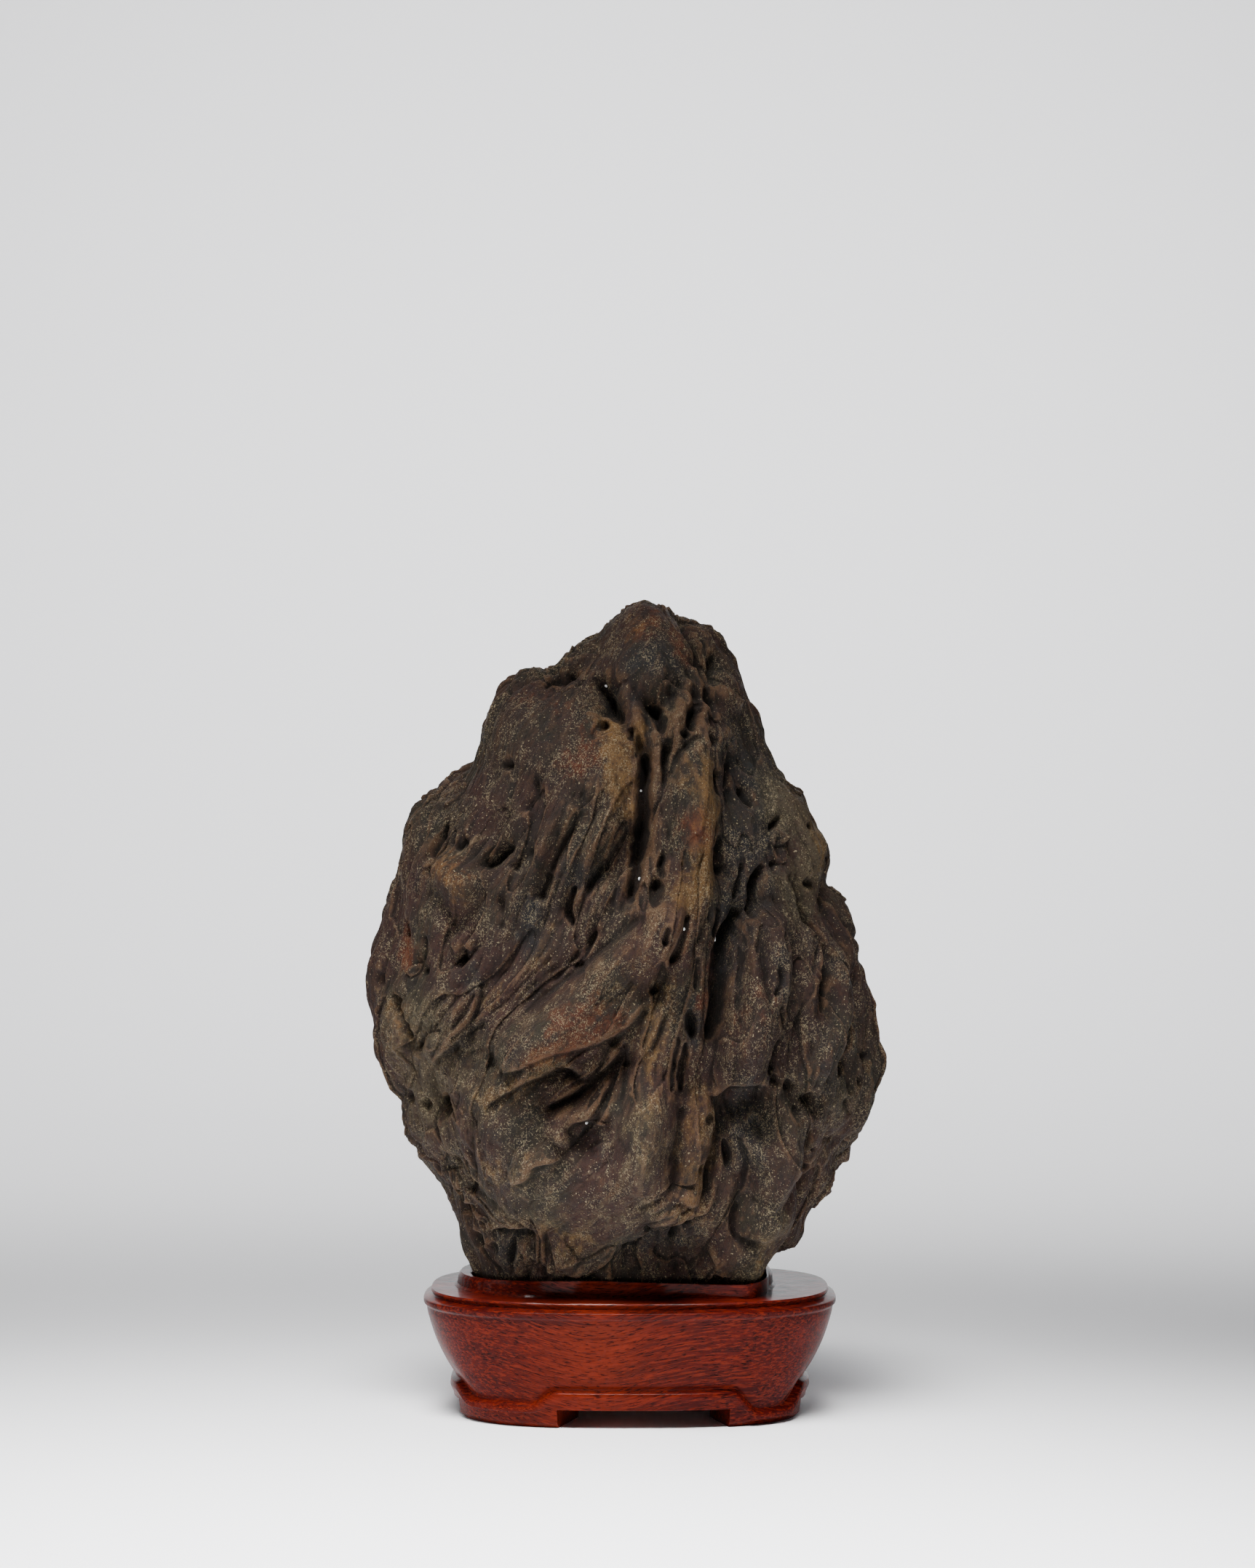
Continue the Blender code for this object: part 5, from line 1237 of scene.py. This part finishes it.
# ---------------------------------------------------------------- shader maths
class Value:
    """A socket that arithmetic can be written with: each operator adds its node."""

    def __init__(self, finish, socket):
        self.finish, self.socket = finish, socket

    def __add__(self, other):
        return self.finish.maths("ADD", self, other)

    def __sub__(self, other):
        return self.finish.maths("SUBTRACT", self, other)

    def __rsub__(self, other):
        return self.finish.maths("SUBTRACT", other, self)

    def __mul__(self, other):
        return self.finish.maths("MULTIPLY", self, other)

    def __pow__(self, other):
        return self.finish.maths("POWER", self, other)

    __radd__, __rmul__ = __add__, __mul__


class Finish:
    """A material and the nodes that make it."""

    def __init__(self, name):
        self.material = bpy.data.materials.new(name)
        self.material.use_nodes = True
        self.tree = self.material.node_tree
        self.tree.nodes.clear()
        self.place = self.node("ShaderNodeTexCoord", output="Object")

    def node(self, kind, settings=None, inputs=None, output=0):
        """Any node: its settings first, then its sockets' values or links."""
        node = self.tree.nodes.new(kind)
        for name, setting in (settings or {}).items():
            setattr(node, name, setting)
        for name, value in (inputs or {}).items():
            if isinstance(value, Value):
                self.tree.links.new(value.socket, node.inputs[name])
            else:
                node.inputs[name].default_value = value
        return Value(self, node.outputs[output])

    def maths(self, operation, first, second=0.0):
        return self.node("ShaderNodeMath", {"operation": operation}, {0: first, 1: second})

    def attribute(self, name):
        return self.node("ShaderNodeAttribute", {"attribute_name": name}, output="Fac")

    def climb(self, value, low, high):
        """0 where the value is under low, 1 over high, and a smooth climb between."""
        return self.node(
            "ShaderNodeMapRange", {"interpolation_type": "SMOOTHSTEP"},
            {"Value": value, "From Min": low, "From Max": high})

    def stretched(self, sizes):
        """Object coordinates counted in pattern sizes, in mm, along X, Y and Z."""
        scale = tuple(1.0 / (MM * size) for size in sizes)
        return self.node("ShaderNodeMapping", None, {"Vector": self.place, "Scale": scale})

    def noise(self, sizes, detail=2.0, roughness=0.5, distortion=0.0, shift=0.0):
        vector = self.node(
            "ShaderNodeVectorMath", {"operation": "ADD"},
            {0: self.stretched(sizes), 1: (shift, shift, shift)})
        return self.node(
            "ShaderNodeTexNoise", {"noise_dimensions": "3D"},
            {"Vector": vector, "Scale": 1.0, "Detail": detail, "Roughness": roughness,
             "Distortion": distortion})

    def combed(self, across, along, detail, shift):
        """Noise drawn out the way the stone's grain runs."""
        low, middle, high = THREAD_DIRECTIONS
        run = self.attribute("run")
        shares = [self.climb(run, middle, low), None, self.climb(run, middle, high)]
        shares[1] = 1 - shares[0] - shares[2]
        total = 0.0
        for share, degrees in zip(shares, THREAD_DIRECTIONS):
            places = self.node(
                "ShaderNodeMapping", {"vector_type": "TEXTURE"},
                {"Vector": self.place, "Location": (MM * shift, MM * shift, 0.0),
                 "Rotation": (0.0, math.radians(90.0 - degrees), 0.0),
                 "Scale": (MM * across, MM * across, MM * along)})
            streaks = self.node(
                "ShaderNodeTexNoise", {"noise_dimensions": "3D"},
                {"Vector": places, "Scale": 1.0, "Detail": detail, "Roughness": 0.6})
            total = share * streaks + total
        return total

    def mix(self, factor, first, second):
        return self.node(
            "ShaderNodeMix", {"data_type": "RGBA"}, {0: factor, 6: first, 7: second}, output=2)

    def bump(self, height, depth, below=None):
        inputs = {"Height": height, "Strength": 1.0, "Distance": depth * MM}
        if below is not None:
            inputs["Normal"] = below
        return self.node("ShaderNodeBump", None, inputs, output="Normal")

    def done(self, inputs):
        shader = self.node("ShaderNodeBsdfPrincipled", None, inputs, output="BSDF")
        self.node_output(shader)
        return self.material

    def node_output(self, shader):
        out = self.tree.nodes.new("ShaderNodeOutputMaterial")
        self.tree.links.new(shader.socket, out.inputs["Surface"])


def from_screen(red, green, blue):
    """A colour as it looks on a screen, 0 to 255, as the linear one a shader takes."""
    levels = [value / 255.0 for value in (red, green, blue)]
    linear = [level / 12.92 if level <= 0.04045 else ((level + 0.055) / 1.055) ** 2.4
              for level in levels]
    return (*linear, 1.0)


# ---------------------------------------------------------------- the finishes
def stone_finish():
    stone = Finish("river_worn_stone")
    blotch = stone.noise((34, 34, 48), 3.0, 0.55, 0.4)
    mottle = stone.noise((7, 7, 11), 4.0, 0.6, 0.6, shift=3.0)
    grain = stone.noise((0.8, 0.8, 1.0), 3.0, 0.65, shift=7.0)
    ragged = stone.noise((3.0, 3.0, 4.0), 6.0, 0.72, shift=19.0)
    curl = stone.noise((2.6, 2.6, 3.0), 3.0, 0.65, 1.2, shift=11.0)
    patch = stone.noise((15, 15, 19), 3.0, 0.65, shift=29.0)
    thread = stone.combed(1.5, 8.0, 4.0, 23.0)
    strand = stone.combed(3.6, 17.0, 3.0, 37.0)
    streak = stone.attribute("streak")
    crevice, valley = stone.attribute("crevice"), stone.attribute("valley")
    ridge, crest = stone.attribute("ridge"), stone.attribute("crest")
    cleft = stone.attribute("cleft")

    colour = stone.mix(stone.climb(blotch, 0.38, 0.62),
                       from_screen(49, 30, 25), from_screen(40, 35, 25))
    colour = stone.mix(stone.climb(mottle + 0.5 * streak, 0.42, 0.74) * 0.6,
                       colour, from_screen(62, 43, 31))
    colour = stone.mix(stone.climb(mottle - 0.6 * streak, 0.40, 0.66) * 0.5,
                       colour, from_screen(26, 20, 20))
    colour = stone.mix(stone.climb(thread, 0.50, 0.30) * 0.65, colour, from_screen(20, 15, 13))
    colour = stone.mix(stone.climb(strand, 0.52, 0.70) * 0.5, colour, from_screen(72, 52, 38))
    # Paler on the crests and ridges: partly wear, partly a painted highlight along the crest edges.
    worn = stone.climb(0.5 * crest + 0.6 * ridge + 1.0 * (ragged - 0.5), 0.20, 0.85)
    colour = stone.mix(worn * 0.7, colour, from_screen(92, 68, 48))
    for name, tone, share in (
            ("umber", from_screen(32, 20, 17), 0.7), ("slate", from_screen(29, 31, 33), 0.8),
            ("crust", from_screen(80, 71, 53), 0.6),
            ("rust", from_screen(94, 44, 20), 0.6), ("ochre", from_screen(110, 82, 46), 0.65)):
        broken = 1.6 * (ragged - 0.5) + 0.5 * streak + 0.9 * (patch - 0.5)
        stain = stone.climb(0.9 * stone.attribute(name) + broken, 0.25, 0.95)
        colour = stone.mix(stain * share, colour, tone)
    # Darker in the crevices, valleys and clefts: partly dirt lodged there, partly painted shade.
    hollow_dirt_and_shade = stone.climb(0.5 * valley + 0.7 * crevice + 0.5 * cleft, 0.16, 0.90)
    colour = stone.mix(hollow_dirt_and_shade * 0.62, colour, from_screen(17, 15, 13))
    colour = stone.mix(stone.climb(grain, 0.50, 0.36) * 0.55, colour, from_screen(20, 15, 13))
    clustered = stone.climb(patch + 0.4 * (mottle - 0.5), 0.44, 0.58)
    snapped = stone.climb(grain, 0.44, 0.54)
    fleck = stone.climb(stone.maths("ABSOLUTE", curl - 0.5), 0.030, 0.012) * snapped
    dot = stone.climb(stone.noise((0.9, 0.9, 1.0), 1.0, 0.5, shift=31.0), 0.68, 0.73)
    pale = stone.maths("MAXIMUM", fleck * clustered, dot) * (1 - 0.75 * hollow_dirt_and_shade)
    colour = stone.mix(pale * 0.85, colour, from_screen(142, 128, 100))
    colour = stone.mix(stone.attribute("vein") * 0.75, colour, from_screen(110, 93, 71))

    rough = 0.58 + 0.25 * hollow_dirt_and_shade - 0.12 * worn + 0.14 * (grain - 0.5)
    normal = stone.bump(grain, 0.5)
    normal = stone.bump(thread, 1.0, normal)
    normal = stone.bump(ragged, 1.5, normal)
    normal = stone.bump(pale, 0.08, normal)
    return stone.done({"Base Color": colour, "Roughness": rough, "Normal": normal,
                       "Specular IOR Level": 0.16})


def grit_finish():
    grit = Finish("pale_grit")
    tone = grit.noise((2.0, 2.0, 2.0), 2.0)
    colour = grit.mix(grit.climb(tone, 0.35, 0.65),
                      from_screen(58, 48, 34), from_screen(88, 77, 57))
    return grit.done({"Base Color": colour, "Roughness": 0.7,
                      "Normal": grit.bump(grit.noise((0.4, 0.4, 0.4)), 0.1)})


def wood_finish():
    wood = Finish("varnished_rosewood")
    across = wood.node("ShaderNodeSeparateXYZ", None, {0: wood.place}, output="X")
    off = (across * (1.0 / MM) - FIGURE_X) * (1.0 / FIGURE_WIDTH)
    hung = wood.maths("POWER", math.e, off * off * -1.0)
    up = wood.node("ShaderNodeSeparateXYZ", None, {0: wood.place}, output="Z") * (1.0 / MM)
    # The band over the mouldings under the plate is painted darker: partly the wood's darker plum tone
    # there, partly painted shade under the plate's edge.
    moulding = wood.climb(up, 50.5, 52.5) * wood.climb(up, 60.0, 58.0)
    wood.place = wood.node(
        "ShaderNodeVectorMath", {"operation": "ADD"},
        {0: wood.place, 1: wood.node(
            "ShaderNodeCombineXYZ", None, {"Z": hung * (MM * FIGURE_SAG)})})
    bend = wood.noise((95, 60, 38), 2.0, 0.5, 0.3)
    figure = wood.noise((70, 12, 5.5), 3.0, 0.6, 1.4, shift=5.0)
    fibre = wood.noise((20, 1.2, 1.0), 3.0, 0.65, shift=9.0)
    pores = wood.noise((5.0, 1.0, 0.55), 2.0, 0.6, shift=15.0)
    colour = wood.mix(wood.climb(figure, 0.35, 0.66),
                      from_screen(60, 8, 4), from_screen(82, 16, 7))
    colour = wood.mix(wood.climb(bend, 0.42, 0.66) * 0.6, colour, from_screen(46, 4, 4))
    colour = wood.mix(hung * 0.55, colour, from_screen(98, 30, 11))
    colour = wood.mix((1 - hung) * 0.35, colour, from_screen(44, 5, 5))
    colour = wood.mix(moulding * 0.5, colour, from_screen(34, 3, 4))
    colour = wood.mix(wood.climb(figure, 0.44, 0.36) * 0.35, colour, from_screen(42, 5, 4))
    colour = wood.mix(wood.climb(fibre, 0.46, 0.62) * 0.72, colour, from_screen(102, 28, 11))
    pore = wood.climb(pores, 0.55, 0.63)
    colour = wood.mix(pore * 0.8, colour, from_screen(16, 2, 2))
    normal = wood.bump(1 - pore, 0.05, wood.bump(wood.noise((9, 9, 7), 3.0), 0.35))
    return wood.done({"Base Color": colour, "Roughness": 0.36 + 0.16 * fibre,
                      "Normal": normal, "Coat Weight": 0.22 + 0.22 * (1 - pore),
                      "Coat Roughness": 0.13, "Coat IOR": 1.18, "Specular IOR Level": 0.03})


def paper_finish(name, tone):
    paper = Finish(name)
    cloud = paper.noise((900, 900, 900), 2.0)
    colour = paper.mix(cloud * 0.3, from_screen(*tone), from_screen(*[v - 6 for v in tone]))
    return paper.done({"Base Color": colour, "Roughness": 0.9})


# ---------------------------------------------------------------- the studio
def sweep():
    """A pale floor that curves up into the backdrop."""
    centre = FLOOR_BACK, SWEEP_RADIUS
    profile = [(FLOOR_FRONT, 0.0)]
    for degrees in range(0, 91, 5):
        turn = math.radians(degrees)
        profile.append((centre[0] + SWEEP_RADIUS * math.sin(turn),
                        centre[1] - SWEEP_RADIUS * math.cos(turn)))
    profile.append((FLOOR_BACK + SWEEP_RADIUS, WALL_HEIGHT))
    half = FLOOR_WIDTH / 2.0
    corners = [(side * half * MM, deep * MM, up * MM)
               for deep, up in profile for side in (-1, 1)]
    faces = [(low, low + 1, low + 3, low + 2) for low in range(0, len(corners) - 2, 2)]
    mesh = bpy.data.meshes.new("studio_sweep")
    mesh.from_pydata(corners, [], faces)
    mesh.shade_smooth()
    mesh.materials.append(paper_finish("studio_paper", (249, 249, 251)))
    return new_object("studio_sweep", mesh)


def area_light(name, place, target, size, power, spread=180):
    light = bpy.data.lights.new(name, "AREA")
    light.spread = math.radians(spread)
    light.shape = "RECTANGLE"
    light.size, light.size_y = (length * MM for length in size)
    light.energy = power
    lamp = new_object(name, light)
    lamp.location = [length * MM for length in place]
    aim = np.array(target) * MM - np.array(lamp.location)
    lamp.rotation_euler = Vector(aim).to_track_quat("-Z", "Y").to_euler()


def studio():
    sweep()
    middle = (0.0, 0.0, 180.0)
    area_light("overhead_softbox", (-80, -600, 1500), (-15, -400, 0), (900, 400), 12.2, 47)
    area_light("left_softbox", (-1100, -350, 500), middle, (300, 1000), 2.9)
    area_light("right_softbox", (1100, -350, 500), middle, (300, 1000), 0.55)
    area_light("backdrop_light", (0, -200, 1500), (0, 1750, 500), (2400, 300), 36, 100)
    world = bpy.data.worlds.new("studio")
    bpy.context.scene.world = world
    world.use_nodes = True
    air = world.node_tree.nodes["Background"]
    air.inputs["Color"].default_value = (0.93, 0.95, 1.0, 1.0)
    air.inputs["Strength"].default_value = 0.05


def camera():
    view = bpy.data.cameras.new("camera")
    view.sensor_width = SENSOR
    view.lens = FOCAL_PIXELS / PICTURE_HEIGHT * SENSOR
    eye = new_object("camera", view)
    eye.location = [length * MM for length in CAMERA_AT]
    eye.rotation_euler = (math.radians(90), 0.0, 0.0)
    bpy.context.scene.camera = eye


def main():
    dense, worn, facts = dense_stone()
    stone = thinned_stone(dense, facts)
    grit = make_grit(stone, grit_finish())
    stand = make_stand(worn)
    finish_piece(stone, stone_finish(), "stone", "rock")
    finish_piece(grit, grit.data.materials[0], "stone")
    finish_piece(stand, wood_finish(), "rosewood", "stand")
    stand.data.set_sharp_from_angle(angle=math.radians(42))
    studio()
    camera()


main()
